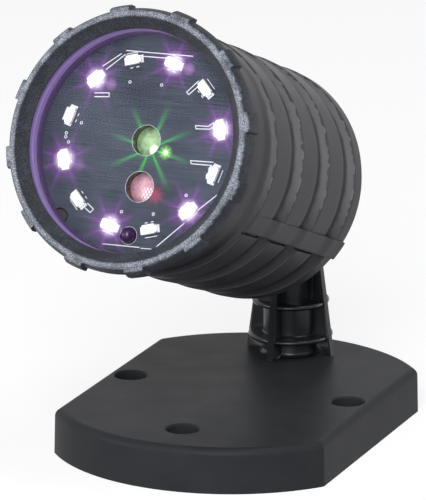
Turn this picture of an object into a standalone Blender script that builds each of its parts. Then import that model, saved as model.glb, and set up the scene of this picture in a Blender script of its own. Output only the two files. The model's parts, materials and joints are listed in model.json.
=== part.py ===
"""Outdoor light projector: a ridged round head on a swivelling fork, a ribbed neck and a moulded base plate.

The origin is the middle of the base plate's underside. +Z is up and the head looks along -Y.
Sizes are in millimetres, and MM turns them into metres as each mesh is made.
"""
import math

import bmesh
import bpy
from mathutils import Matrix, Vector

MM = 0.001

# Clearance between pieces that touch, and between a shaft and its hole
GAP = 0.3

# Pose of the head at rest, in degrees
PITCH = 21.63
PAN = -4.75
HEAD_ROLL = 1.6

# Base plate
BASE_HALF_WIDTH = 48.5
BASE_ARC_R = 61.6
BASE_ARC_SHIFT = 6.85
BASE_CORNER_R = 3.0
BASE_HEIGHT = 15.4
BASE_FOOT_SPREAD = 0.3
BASE_EDGE_R = 1.8
BASE_WALL = 2.8
BASE_DECK = 3.0
RIB_THICKNESS = 1.8
RIB_PITCH_X = 15.5
RIB_PITCH_Y = 16.5
RIB_RECESS = 0.8
CENTRE_PAD_R = 6.0
SIDE_HOLE_INSET = 8.7
FRONT_HOLE_INSET = 19.45
HOLE_R = 5.5
HOLE_SCREW_R = 3.25
HOLE_SEAT_Z = 4.5
HOLE_BOSS_R = 8.2
HOLE_CHAMFER = 0.5

# Neck post and the screw that holds it from below
NECK_INSET = 20.45
NECK_HEIGHT = 40.0
NECK_CORE_R = 9.6
NECK_RIB_FOOT_R = 16.3
NECK_RIB_TAPER = 0.14
NECK_RIB_THICKNESS = 2.5
LOWER_RING_Z = 6.2
LOWER_RING_R = 14.7
UPPER_RING_Z = 18.4
UPPER_RING_R = 13.4
RING_THICKNESS = 2.0
RING_EDGE = 0.6
NECK_CORE_INSET = 0.4
NECK_BOX_EDGE_R = 1.0
NECK_BOX_X = 15.4
NECK_BOX_Y = 18.8
BEARING_R = 12.2
BEARING_THICKNESS = 3.0
BEARING_EDGE = 0.5
NECK_BOX_SINK = 0.7
NECK_RIB_SINK = 0.9
SPIGOT_R = 8.5
SPIGOT_FLOOR_Z = 7.5
SOCKET_BOSS_R = 12.0
NECK_SCREW_R = 1.8
NECK_SCREW_HEAD_R = 3.5
NECK_SCREW_HEAD_T = 2.3
NECK_SCREW_LENGTH = 13.0
NECK_RECESS_R = 5.0
NECK_RECESS_DEPTH = 5.0
WASHER_T = 0.8

# Swivel fork, its screw and the hinge
YOKE_DISC_T = 3.0
YOKE_EDGE = 0.6
PAN_SCREW_R = 2.4
PAN_SCREW_HEAD_R = 4.3
PAN_WASHER_MARGIN = 0.4
PAN_SCREW_HEAD_T = 2.2
PAN_SCREW_LENGTH = 17.0
HINGE_RISE = 15.5
KNUCKLE_R = 7.0
KNUCKLE_WIDTH = 10.6
EAR_R = 7.5
EAR_THICKNESS = 3.6
EAR_FOOT_HALF = 7.6
BOLT_R = 3.0
BOLT_EDGE = 0.5
BOLT_HEAD_R = 5.2
BOLT_HEAD_T = 4.0
HINGE_WASHER_R = 6.2
HINGE_WASHER_T = 1.0
KNOB_R = 10.6
KNOB_LOBE = 1.1
KNOB_LOBES = 6
KNOB_LENGTH = 12.4
KNOB_FLOOR = 1.8
INSERT_R = 5.2
INSERT_LENGTH = 5.6

# Head: depths run backwards along its axis from the plane of the bezel's opening
HINGE_TO_CAP = 20.58
OPENING_R = 36.9
LIP_T = 0.9
LENS_T = 1.8
LENS_EDGE = 0.2
GASKET_T = 2.6
CLAMP_T = 2.65
CLAMP_STEP = 0.6
BOARD_T = 1.6
SEAT_WIDTH = 2.0
SPIGOT_WALL = 1.3
SPIGOT_EDGE = 0.4
BEZEL_CREST_DEPTH = -3.4
BEZEL_DISH_WIDTH = 3.7
BEZEL_PROUD = 2.9
BEZEL_REAR = 2.7
BEZEL_BEVEL_WIDTH = 1.3
BEZEL_BEVEL_DEPTH = 3.4
BEZEL_FINE_EDGE = 0.3
LUGS = 12
LUG_RISE = 1.2
LUG_ANGLE = 8.8
LUG_SIDE_ANGLE = 0.4
LUG_PHASE = 12.6
COLLAR_STEP = 0.5
COLLAR_FALL = 0.1
COLLAR_END = 3.4
COLLAR_LEVEL = 2.0
RIDGES = 4
RIDGE_FIRST = 25.2
RIDGE_PITCH = 21.7
RIDGE_STEP = 0.4
RIDGE_FALL = 0.27
FLAT_LENGTH = 11.6
FLAT_FALL = 0.45
GROOVE_DEPTH = 1.5
GROOVE_STEPS = 4
CREST_ROUND = 0.35
CREST_DROP = 0.2
BAND_ANGLE = -30.0
BAND_WIDTH = 7.0
BAND_RISE = 0.06
LAST_FLAT = 6.7
BARREL_EDGE_R = 0.9
SKIN_WALL = 4.3
SHOULDER_WIDTH = 3.3
SHOULDER_T = 2.55
PEG_R = 2.4
PEG_ANGLE = -135.0
PEG_INSET = 1.9
PEG_STEP = 0.15
PEG_SINK = 0.8

# Rear cap, its gasket and screws
CAP_OVERLAP = 1.6
CAP_FLANGE_T = 2.4
CAP_GASKET_T = 0.8
CAP_GASKET_WIDTH = 1.2
CAP_CONE_INSET = 3.2
CAP_SLOPE = 2.5
CAP_EDGE = 0.9
CAP_DRAFT = 0.4
CAP_FACE_EDGE = 0.6
CAP_HEIGHT = 5.7
CAP_WALL = 2.5
CAP_SCREW_INSET = 4.2
CAP_SCREW_R = 1.5
CAP_SCREW_HEAD_R = 2.9
CAP_SCREW_HEAD_T = 1.9
CAP_SCREW_LENGTH = 12.0
CAP_BOSS_R = 4.8
CAP_BOSS_LENGTH = 13.0
ARM_CLEARANCE = 0.4
GLAND_INSET = 7.8
GLAND_R = 4.0
GLAND_BORE_R = 2.2
GLAND_FLANGE_R = 5.8
GLAND_LENGTH = 10.5
GLAND_FLANGE_T = 3.0
GLAND_STEP = 0.8
GLAND_TAPER = 3.5
GLAND_TIP = 1.0
GLAND_NUT_R = 5.4
GLAND_NUT_T = 2.6

# Lights and laser modules
LEDS = 12
LED_INSET = 8.55
LED_LENGTH = 5.6
LED_WIDTH = 3.2
LED_HEIGHT = 1.3
LASER_X = 1.3
GREEN_Y = 1.5
RED_Y = -13.8
LASER_HOLE_R = 5.05
MODULE_STAND = 1.3
MODULE_R = 6.2
MODULE_EDGE = 0.2
MODULE_LENGTH = 26.0
MODULE_TAIL_R = 4.6
MODULE_TAIL_LENGTH = 7.0
GRATING_R = 5.3
GRATING_T = 1.0
SENSOR_MARGIN = 0.4
SENSOR_R = 2.5
SENSOR_STAND = 1.1
SENSOR_FLANGE_R = 3.1
SENSOR_FLANGE_T = 1.1
CARRIER_T = 3.0
CARRIER_BLOCK_T = 15.0
CARRIER_BLOCK_MARGIN = 3.6
CARRIER_BLOCK_EDGE_R = 3.0
CARRIER_SCREW_R = 1.2
CARRIER_SCREW_HEAD_R = 2.2
CARRIER_SCREW_HEAD_T = 1.6
CARRIER_SCREW_LENGTH = 5.0
CARRIER_SCREW_INSET = 3.2
CARRIER_EAR_R = 3.0
CARRIER_EAR_SINK = 0.2
CARRIER_SCREW_PLAY = 0.2

# Driver board on its pillars
PILLAR_LENGTH = 34.0
PILLAR_R = 2.8
PILLAR_INSET = 8.6
DRIVER_MARGIN = 5.0
DRIVER_SCREW_R = 1.2
DRIVER_SCREW_HEAD_R = 2.3
DRIVER_SCREW_HEAD_T = 1.5
DRIVER_SCREW_LENGTH = 6.0
CAPACITOR_R = 5.0
CAPACITOR_EDGE = 0.5
CAPACITOR_LENGTH = 14.0
CAPACITOR_X = -12.0
CAPACITOR_Y = 4.0
COIL_R = 6.5
COIL_LENGTH = 8.0
COIL_FLANGE_T = 1.5
COIL_FLANGE_WIDTH = 1.2
COIL_X = 11.0
COIL_Y = -6.0

# Facets round the axis
HEAD_SEGMENTS = 32
MEDIUM_SEGMENTS = 20
SMALL_SEGMENTS = 12
SCREW_SEGMENTS = 8

# Middles of what stands on the base plate
BASE_HALF_LENGTH = BASE_ARC_SHIFT + BASE_ARC_R
SIDE_HOLE_X = BASE_HALF_WIDTH - SIDE_HOLE_INSET
FRONT_HOLE_Y = FRONT_HOLE_INSET - BASE_HALF_LENGTH
NECK_Y = BASE_HALF_LENGTH - NECK_INSET

# Radii of the head, from the bezel's opening outwards and back in
FRONT_BORE_R = OPENING_R + SEAT_WIDTH
CLAMP_INNER_R = OPENING_R - CLAMP_STEP
LED_CIRCLE_R = OPENING_R - LED_INSET
BEZEL_CREST_INNER_R = OPENING_R + BEZEL_DISH_WIDTH
SPIGOT_OUTER_R = FRONT_BORE_R + SPIGOT_WALL
COLLAR_R = SPIGOT_OUTER_R + COLLAR_STEP
BEZEL_R = COLLAR_R + BEZEL_PROUD
RIDGE_R = COLLAR_R + RIDGE_STEP
REAR_BORE_R = RIDGE_R - SKIN_WALL
SHOULDER_R = REAR_BORE_R - SHOULDER_WIDTH
SENSOR_Y = SENSOR_MARGIN + SENSOR_FLANGE_R - SHOULDER_R
PEG_PLACE_R = FRONT_BORE_R - PEG_INSET
CARRIER_SCREW_PLACE_R = REAR_BORE_R - CARRIER_SCREW_INSET
PILLAR_PLACE_R = CARRIER_SCREW_PLACE_R - PILLAR_INSET
DRIVER_R = PILLAR_PLACE_R + DRIVER_MARGIN
CAP_R = REAR_BORE_R + CAP_OVERLAP
CAP_GASKET_INNER_R = CAP_R - GAP - CAP_GASKET_WIDTH
CAP_SCREW_PLACE_R = REAR_BORE_R - CAP_SCREW_INSET
CAP_CONE_R = CAP_SCREW_PLACE_R - CAP_SCREW_HEAD_R - CAP_CONE_INSET
CAP_FACE_R = CAP_CONE_R - CAP_SLOPE
GLAND_OFFSET = CAP_FACE_R - GLAND_INSET
ARM_ROOT_HALF = GLAND_OFFSET - GLAND_FLANGE_R - ARM_CLEARANCE

# Depths of the parts stacked behind the bezel's lip
LENS_FRONT = LIP_T + GAP
GASKET_FRONT = LENS_FRONT + LENS_T + GAP
CLAMP_FRONT = GASKET_FRONT + GASKET_T + GAP
BOARD_FRONT = CLAMP_FRONT + CLAMP_T + GAP
BOARD_BACK = BOARD_FRONT + BOARD_T
SHOULDER_FRONT = BOARD_BACK + GAP
SHOULDER_BACK = SHOULDER_FRONT + SHOULDER_T
CARRIER_FRONT = SHOULDER_BACK + GAP
CARRIER_BACK = CARRIER_FRONT + CARRIER_T
MODULE_FRONT = CARRIER_FRONT - MODULE_STAND
DRIVER_FRONT = CARRIER_BACK + GAP + PILLAR_LENGTH + GAP
DRIVER_BACK = DRIVER_FRONT + BOARD_T
COLLAR_FRONT = BEZEL_REAR + GAP
BARREL_END = RIDGE_FIRST + RIDGE_PITCH * (RIDGES - 1) + LAST_FLAT
CAP_GASKET_FRONT = BARREL_END + GAP
CAP_FLANGE_FRONT = CAP_GASKET_FRONT + CAP_GASKET_T + GAP
CAP_FLANGE_BACK = CAP_FLANGE_FRONT + CAP_FLANGE_T
CAP_FACE = CAP_FLANGE_BACK + CAP_HEIGHT
HINGE_TO_OPENING = CAP_FACE + HINGE_TO_CAP

# Heights of the parts stacked on the neck
NECK_SEAT_Z = BASE_HEIGHT + GAP
NECK_TOP_Z = NECK_SEAT_Z + NECK_HEIGHT
YOKE_Z = NECK_TOP_Z + GAP
YOKE_TOP_Z = YOKE_Z + YOKE_DISC_T
HINGE_Z = YOKE_Z + HINGE_RISE
EAR_INNER_X = KNUCKLE_WIDTH / 2 + GAP
EAR_OUTER_X = EAR_INNER_X + EAR_THICKNESS
KNOB_FACE_X = EAR_OUTER_X + GAP + HINGE_WASHER_T + GAP


# Scene helpers

def clear_scene():
    """Removes every object from the scene."""
    for item in list(bpy.data.objects):
        bpy.data.objects.remove(item, do_unlink=True)


def make_material(name, color, roughness, metallic=0.0, alpha=1.0):
    """Makes a plain surface finish."""
    material = bpy.data.materials.new(name)
    material.use_nodes = True
    shader = material.node_tree.nodes["Principled BSDF"]
    shader.inputs["Base Color"].default_value = (*color, 1.0)
    shader.inputs["Roughness"].default_value = roughness
    shader.inputs["Metallic"].default_value = metallic
    shader.inputs["Alpha"].default_value = alpha
    material.diffuse_color = (*color, alpha)
    return material


def make_empty(name, parent=None, location=(0, 0, 0), rotation=(0, 0, 0)):
    """Makes an axis that other pieces hang from."""
    empty = bpy.data.objects.new(name, None)
    bpy.context.scene.collection.objects.link(empty)
    empty.parent = parent
    empty.location = Vector(location) * MM
    empty.rotation_euler = [math.radians(a) for a in rotation]
    return empty


def make_object(name, bm, material=None, parent=None, location=(0, 0, 0), rotation=(0, 0, 0), sharp=35.0):
    """Turns a bmesh in millimetres into a named object in metres."""
    bmesh.ops.remove_doubles(bm, verts=bm.verts, dist=1e-4)
    bmesh.ops.recalc_face_normals(bm, faces=bm.faces)
    bmesh.ops.scale(bm, vec=(MM, MM, MM), verts=bm.verts)
    mesh = bpy.data.meshes.new(name)
    bm.to_mesh(mesh)
    bm.free()
    mesh.shade_smooth()
    mesh.set_sharp_from_angle(angle=math.radians(sharp))
    if material:
        mesh.materials.append(material)
    item = bpy.data.objects.new(name, mesh)
    bpy.context.scene.collection.objects.link(item)
    item.parent = parent
    item.location = Vector(location) * MM
    item.rotation_euler = [math.radians(a) for a in rotation]
    return item


def boolean(item, tool, operation):
    """Adds a boolean whose tool is a hidden guide in the same frame."""
    tool.hide_render = True
    tool.display_type = "WIRE"
    modifier = item.modifiers.new(f"{operation.lower()} {tool.name}", "BOOLEAN")
    modifier.operation = operation
    modifier.solver = "EXACT"
    modifier.object = tool


def guide(item, name, bm, operation):
    """Makes a tool from a bmesh in the frame of an item and applies it to that item."""
    tool = make_object(name, bm, None, item.parent, item.location / MM)
    tool.rotation_euler = item.rotation_euler
    boolean(item, tool, operation)
    return tool


# Shape helpers, in millimetres

def circle(radius, segments, centre=(0, 0), phase=0.0):
    """Gives the corners of a regular polygon, anticlockwise."""
    turns = [2 * math.pi * i / segments + math.radians(phase) for i in range(segments)]
    return [(centre[0] + radius * math.cos(t), centre[1] + radius * math.sin(t)) for t in turns]


def hull_of_circle_and_edge(radius, root_distance, root_half, segments=14):
    """Gives the outline of an arm: an edge at -root_distance, and straight sides to a round end at 0."""
    reach = math.hypot(root_distance, root_half)
    lean = math.atan2(root_half, root_distance)
    touch = math.pi - lean - math.acos(radius / reach)
    turns = [touch - 2 * touch * i / segments for i in range(segments + 1)]
    end = [(radius * math.cos(t), radius * math.sin(t)) for t in turns]
    return [(-root_distance, root_half)] + end + [(-root_distance, -root_half)]


def add_lathe(bm, profile, segments, closed=False, centre=(0, 0)):
    """Spins a profile of (radius, height) round the vertical through centre."""
    verts = [bm.verts.new((r, 0, z)) for r, z in profile]
    edges = [bm.edges.new((a, b)) for a, b in zip(verts, verts[1:])]
    if closed:
        edges.append(bm.edges.new((verts[-1], verts[0])))
    bmesh.ops.spin(bm, geom=verts + edges, cent=(0, 0, 0), axis=(0, 0, 1), angle=2 * math.pi, steps=segments,
                   use_merge=True)
    new = [v for v in bm.verts if not v.tag]
    bmesh.ops.translate(bm, vec=(centre[0], centre[1], 0), verts=new)
    for v in bm.verts:
        v.tag = True
    bmesh.ops.remove_doubles(bm, verts=bm.verts, dist=1e-4)


def lathe(profile, segments, closed=False):
    """Gives a bmesh spun from a profile of (radius, height)."""
    bm = bmesh.new()
    add_lathe(bm, profile, segments, closed)
    return bm


def add_stack(bm, loops):
    """Joins rings of points of equal count, each at its own height, and closes both ends."""
    rings = [[bm.verts.new(p) for p in loop] for loop in loops]
    for low, high in zip(rings, rings[1:]):
        for i, vert in enumerate(low):
            j = (i + 1) % len(low)
            bm.faces.new((vert, low[j], high[j], high[i]))
    bm.faces.new(rings[0][::-1])
    bm.faces.new(rings[-1])


def add_prism(bm, outline, low, high):
    """Raises an outline from one height to another."""
    add_stack(bm, [[(x, y, z) for x, y in outline] for z in (low, high)])


def add_plate(bm, outline, thickness, matrix=Matrix.Identity(4)):
    """Raises an outline to both sides of its plane and turns it by a matrix."""
    plate = bmesh.new()
    add_prism(plate, outline, -thickness / 2, thickness / 2)
    bmesh.ops.transform(plate, matrix=matrix, verts=plate.verts)
    bmesh.ops.recalc_face_normals(plate, faces=plate.faces)
    append(bm, plate)


def append(bm, other):
    """Copies another bmesh into this one as separate bodies, and frees it."""
    mesh = bpy.data.meshes.new("part of a piece")
    other.to_mesh(mesh)
    other.free()
    bm.from_mesh(mesh)
    bpy.data.meshes.remove(mesh)


def add_box(bm, low, high):
    """Adds a box between two corners."""
    outline = [(low[0], low[1]), (high[0], low[1]), (high[0], high[1]), (low[0], high[1])]
    add_prism(bm, outline, low[2], high[2])


def upright(turn=0.0):
    """Stands a flat outline up: its x stays level and its y points up, turned about the vertical."""
    return Matrix.Rotation(math.radians(turn), 4, "Z") @ Matrix.Rotation(math.pi / 2, 4, "X")


def hex_outline(across_corners_r):
    """Gives a hexagon's corners."""
    return circle(across_corners_r, 6)


def depth_profile(points):
    """Turns (depth, radius) pairs into a lathe profile, with depth running down from the opening."""
    return [(radius, -depth) for depth, radius in points]


def make_screw(name, parent, material, place, head_front, sizes, rotation=(0, 0, 0)):
    """Makes a pan-head screw whose shank runs up its own +Z from the head's flat side at head_front."""
    shank_r, head_r, head_t, length = sizes
    x, y = place
    slot = 0.45 * head_r
    bm = lathe([(0, -head_t + slot * 0.5), (slot, -head_t + slot * 0.5), (slot * 1.1, -head_t),
                (head_r * 0.8, -head_t), (head_r, -head_t * 0.55), (head_r, 0), (shank_r, 0),
                (shank_r, length - shank_r * 0.6), (shank_r * 0.5, length), (0, length)], SCREW_SEGMENTS)
    item = make_object(name, bm, material, parent, (x, y, head_front), rotation)
    return item


# Base plate and neck

def base_outline(offset, arc_steps=12, corner_steps=3):
    """Gives the base's outline, two flats and two arcs with rounded corners, moved out by offset."""
    inner_r = BASE_ARC_R - BASE_CORNER_R
    corner_x = BASE_HALF_WIDTH - BASE_CORNER_R
    corner_y = BASE_ARC_SHIFT + math.sqrt(inner_r ** 2 - corner_x ** 2)
    lean = math.atan2(corner_y - BASE_ARC_SHIFT, corner_x)
    corner_r = BASE_CORNER_R + offset
    arc_r = BASE_ARC_R + offset
    quarter = [(corner_x + corner_r * math.cos(lean * i / corner_steps),
                corner_y + corner_r * math.sin(lean * i / corner_steps)) for i in range(corner_steps)]
    span = math.pi - 2 * lean
    arc = [(arc_r * math.cos(lean + span * i / arc_steps),
            BASE_ARC_SHIFT + arc_r * math.sin(lean + span * i / arc_steps)) for i in range(arc_steps + 1)]
    left = [(-x, y) for x, y in reversed(quarter)]
    back = quarter + arc + left
    front = [(-x, -y) for x, y in back]
    return back + front


def base_edge_levels():
    """Gives the heights and offsets of the base's side and of its rounded top edge."""
    side_top = BASE_HEIGHT - BASE_EDGE_R
    levels = [(0.0, BASE_FOOT_SPREAD), (side_top, 0.0)]
    for turn in (30, 60, 90):
        lean = math.radians(turn)
        levels.append((side_top + BASE_EDGE_R * math.sin(lean), BASE_EDGE_R * (math.cos(lean) - 1)))
    return levels


def mounting_places():
    """Gives the middles of the three screw holes."""
    return [(-SIDE_HOLE_X, 0.0), (SIDE_HOLE_X, 0.0), (0.0, FRONT_HOLE_Y)]


def add_pocket_ribs(item, reach):
    """Takes the ribs and bosses out of the solid that hollows the base's underside."""
    count_x = int((BASE_HALF_WIDTH - BASE_WALL) // RIB_PITCH_X)
    count_y = int((BASE_ARC_SHIFT + BASE_ARC_R - BASE_WALL) // RIB_PITCH_Y)
    half = RIB_THICKNESS / 2
    for axis, count, pitch in ((0, count_x, RIB_PITCH_X), (1, count_y, RIB_PITCH_Y)):
        bm = bmesh.new()
        for i in range(-count, count + 1):
            low = [-reach, -reach, RIB_RECESS]
            high = [reach, reach, BASE_HEIGHT]
            low[axis] = i * pitch - half
            high[axis] = i * pitch + half
            add_box(bm, low, high)
        guide(item, f"ribs along {'yx'[axis]}", bm, "DIFFERENCE")
    bm = bmesh.new()
    bosses = [(place, HOLE_BOSS_R) for place in mounting_places()]
    bosses += [((0.0, 0.0), CENTRE_PAD_R), ((0.0, NECK_Y), SOCKET_BOSS_R)]
    for centre, radius in bosses:
        add_prism(bm, circle(radius, SMALL_SEGMENTS, centre), -2 * BASE_HEIGHT, BASE_HEIGHT)
    guide(item, "bosses under the deck", bm, "DIFFERENCE")


def make_base(material):
    """Makes the base plate: a ribbed shell with three stepped screw holes and the neck's socket."""
    bm = bmesh.new()
    add_stack(bm, [[(x, y, z) for x, y in base_outline(offset)] for z, offset in base_edge_levels()])
    plate = make_object("base_plate", bm, material)
    bm = bmesh.new()
    inner = base_outline(-BASE_WALL)
    add_prism(bm, inner, -1.0, BASE_HEIGHT - BASE_DECK)
    hollow = make_object("hollow under the deck", bm)
    add_pocket_ribs(hollow, 2 * BASE_ARC_R)
    boolean(plate, hollow, "DIFFERENCE")
    bm = bmesh.new()
    above = BASE_HEIGHT + 1.0
    flare_r = HOLE_R + HOLE_CHAMFER + 1.0
    for centre in mounting_places():
        add_lathe(bm, [(0, -1.0), (HOLE_SCREW_R, -1.0), (HOLE_SCREW_R, HOLE_SEAT_Z), (HOLE_R, HOLE_SEAT_Z),
                       (HOLE_R, BASE_HEIGHT - HOLE_CHAMFER), (flare_r, above), (0, above)],
                  MEDIUM_SEGMENTS, centre=centre)
    socket_r = SPIGOT_R + GAP
    hole_r = NECK_SCREW_R + GAP
    add_lathe(bm, [(0, -1.0), (NECK_RECESS_R, -1.0), (NECK_RECESS_R, NECK_RECESS_DEPTH),
                   (hole_r, NECK_RECESS_DEPTH), (hole_r, SPIGOT_FLOOR_Z), (socket_r, SPIGOT_FLOOR_Z),
                   (socket_r, above), (0, above)], MEDIUM_SEGMENTS, centre=(0, NECK_Y))
    guide(plate, "screw holes and socket", bm, "DIFFERENCE")
    return plate


def ring_profile(radius, core_r, middle):
    """Gives the rounded edge of one of the neck's rings."""
    half = RING_THICKNESS / 2
    flat = half - RING_EDGE
    return [(core_r, middle - half), (radius - RING_EDGE, middle - half), (radius, middle - flat),
            (radius, middle + flat), (radius - RING_EDGE, middle + half), (core_r, middle + half)]


def make_neck(material, parent):
    """Makes the neck post: a core with two rings, four tapering ribs, a squared upper part and a spigot."""
    spigot_end = SPIGOT_FLOOR_Z + GAP - NECK_SEAT_Z
    profile = [(0, spigot_end), (SPIGOT_R, spigot_end), (SPIGOT_R, 0), (NECK_CORE_R, 0)]
    profile += ring_profile(LOWER_RING_R, NECK_CORE_R, LOWER_RING_Z)
    profile += ring_profile(UPPER_RING_R, NECK_CORE_R, UPPER_RING_Z)
    upper_core = NECK_BOX_X / 2 - NECK_CORE_INSET
    disc_low = NECK_HEIGHT - BEARING_THICKNESS
    profile[-1] = (upper_core, profile[-1][1])
    profile += [(upper_core, disc_low), (BEARING_R - BEARING_EDGE, disc_low),
                (BEARING_R, disc_low + BEARING_EDGE), (BEARING_R, NECK_HEIGHT), (0, NECK_HEIGHT)]
    neck = make_object("neck_post", lathe(profile, MEDIUM_SEGMENTS), material, parent)
    bm = bmesh.new()
    half_x, half_y = NECK_BOX_X / 2, NECK_BOX_Y / 2
    add_box(bm, (-half_x, -half_y, UPPER_RING_Z), (half_x, half_y, disc_low + NECK_BOX_SINK))
    edges = [e for e in bm.edges if abs(e.verts[0].co.z - e.verts[1].co.z) > 1]
    bmesh.ops.bevel(bm, geom=edges, offset=NECK_BOX_EDGE_R, segments=2, affect="EDGES")
    guide(neck, "squared upper part", bm, "UNION")
    rib_top = disc_low + NECK_RIB_SINK
    side = [(NECK_RIB_FOOT_R, 0), (NECK_RIB_FOOT_R - NECK_RIB_TAPER * rib_top, rib_top)]
    outline = side + [(-x, z) for x, z in reversed(side)]
    for turn in (0.0, 90.0):
        bm = bmesh.new()
        add_plate(bm, outline, NECK_RIB_THICKNESS, upright(turn))
        guide(neck, f"ribs at {turn:.0f} degrees", bm, "UNION")
    bm = bmesh.new()
    pan_hole_r = PAN_SCREW_R + GAP
    pan_hole_end = NECK_HEIGHT - PAN_SCREW_LENGTH
    add_lathe(bm, [(0, pan_hole_end), (pan_hole_r, pan_hole_end), (pan_hole_r, NECK_HEIGHT + 1),
                   (0, NECK_HEIGHT + 1)], SCREW_SEGMENTS)
    hole_r = NECK_SCREW_R + GAP
    hole_end = spigot_end + NECK_SCREW_LENGTH
    add_lathe(bm, [(0, spigot_end - 1), (hole_r, spigot_end - 1), (hole_r, hole_end), (0, hole_end)],
              SCREW_SEGMENTS)
    guide(neck, "screw holes of the neck", bm, "DIFFERENCE")
    return neck


def make_washer(name, parent, material, sizes, location, rotation=(0, 0, 0)):
    """Makes a flat washer from its inner radius, outer radius and thickness, standing on location."""
    inner, outer, thickness = sizes
    bm = lathe([(inner, 0), (outer, 0), (outer, thickness), (inner, thickness)], SMALL_SEGMENTS, closed=True)
    return make_object(name, bm, material, parent, location, rotation)


def make_neck_fixings(material, parent):
    """Makes the screw and washer that hold the neck from under the base."""
    washer_z = NECK_RECESS_DEPTH - GAP - WASHER_T
    hole_r = NECK_SCREW_R + GAP
    washer_r = NECK_RECESS_R - 2 * GAP
    make_washer("neck_washer", parent, material, (hole_r, washer_r, WASHER_T), (0, 0, washer_z))
    sizes = (NECK_SCREW_R, NECK_SCREW_HEAD_R, NECK_SCREW_HEAD_T, NECK_SCREW_LENGTH)
    make_screw("neck_screw", parent, material, (0, 0), washer_z - GAP, sizes)


# Swivel fork and hinge

def make_yoke(material, parent):
    """Makes the fork that swivels on the neck: a disc with two ears."""
    hole_r = PAN_SCREW_R + GAP
    top = YOKE_DISC_T
    bm = lathe([(hole_r, 0), (BEARING_R, 0), (BEARING_R, top - YOKE_EDGE), (BEARING_R - YOKE_EDGE, top),
                (hole_r, top)],
               MEDIUM_SEGMENTS, closed=True)
    yoke = make_object("swivel_yoke", bm, material, parent)
    rise = HINGE_Z - YOKE_Z
    root = rise - 0.6 * YOKE_DISC_T
    outline = hull_of_circle_and_edge(EAR_R, root, EAR_FOOT_HALF)
    middle = (EAR_INNER_X + EAR_OUTER_X) / 2
    for side, name in ((-1, "left ear"), (1, "right ear")):
        bm = bmesh.new()
        stand = Matrix.Translation((side * middle, 0, rise)) @ Matrix.Rotation(-math.pi / 2, 4, "Y")
        add_plate(bm, outline, EAR_THICKNESS, stand)
        guide(yoke, name, bm, "UNION")
    bm = bmesh.new()
    bore = Matrix.Translation((0, 0, rise)) @ Matrix.Rotation(math.pi / 2, 4, "Y")
    add_plate(bm, circle(BOLT_R + GAP, SMALL_SEGMENTS), 4 * EAR_OUTER_X, bore)
    guide(yoke, "hinge bore of the fork", bm, "DIFFERENCE")
    return yoke


def make_pan_fixings(material, parent):
    """Makes the screw and washer on which the fork swivels."""
    washer_z = YOKE_TOP_Z + GAP
    hole_r = PAN_SCREW_R + GAP
    washer_r = PAN_SCREW_HEAD_R + PAN_WASHER_MARGIN
    make_washer("pan_washer", parent, material, (hole_r, washer_r, WASHER_T), (0, 0, washer_z))
    sizes = (PAN_SCREW_R, PAN_SCREW_HEAD_R, PAN_SCREW_HEAD_T, PAN_SCREW_LENGTH)
    head_z = washer_z + WASHER_T + GAP
    make_screw("pan_screw", parent, material, (0, 0), head_z, sizes, (180, 0, 0))


def make_hinge_fixings(steel, parent):
    """Makes the hinge bolt, which runs through the fork along X, and its two washers."""
    inner = BOLT_R + GAP
    sizes = (inner, HINGE_WASHER_R, HINGE_WASHER_T)
    make_washer("bolt_washer", parent, steel, sizes, (EAR_OUTER_X + GAP, 0, 0), (0, 90, 0))
    make_washer("knob_washer", parent, steel, sizes, (-EAR_OUTER_X - GAP - HINGE_WASHER_T, 0, 0), (0, 90, 0))
    bolt_start = -KNOB_FACE_X - KNOB_LENGTH + KNOB_FLOOR + GAP
    head_x = EAR_OUTER_X + GAP + HINGE_WASHER_T + GAP
    bm = lathe([(0, bolt_start), (BOLT_R - BOLT_EDGE, bolt_start), (BOLT_R, bolt_start + BOLT_EDGE),
                (BOLT_R, head_x + 1.0), (0, head_x + 1.0)], SMALL_SEGMENTS)
    bolt = make_object("hinge_bolt", bm, steel, parent, rotation=(0, 90, 0))
    bm = bmesh.new()
    outer, inset = hex_outline(BOLT_HEAD_R), hex_outline(BOLT_HEAD_R - BOLT_EDGE)
    levels = [(outer, 0.0), (outer, BOLT_HEAD_T - 0.4), (inset, BOLT_HEAD_T)]
    add_stack(bm, [[(x, y, head_x + z) for x, y in points] for points, z in levels])
    guide(bolt, "bolt head", bm, "UNION")


def knob_outline(shrink):
    """Gives the lobed outline of the clamp knob."""
    points = []
    for i in range(KNOB_LOBES * 6):
        turn = 2 * math.pi * i / (KNOB_LOBES * 6)
        radius = KNOB_R - shrink + KNOB_LOBE * math.cos(KNOB_LOBES * turn)
        points.append((radius * math.cos(turn), radius * math.sin(turn)))
    return points


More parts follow.
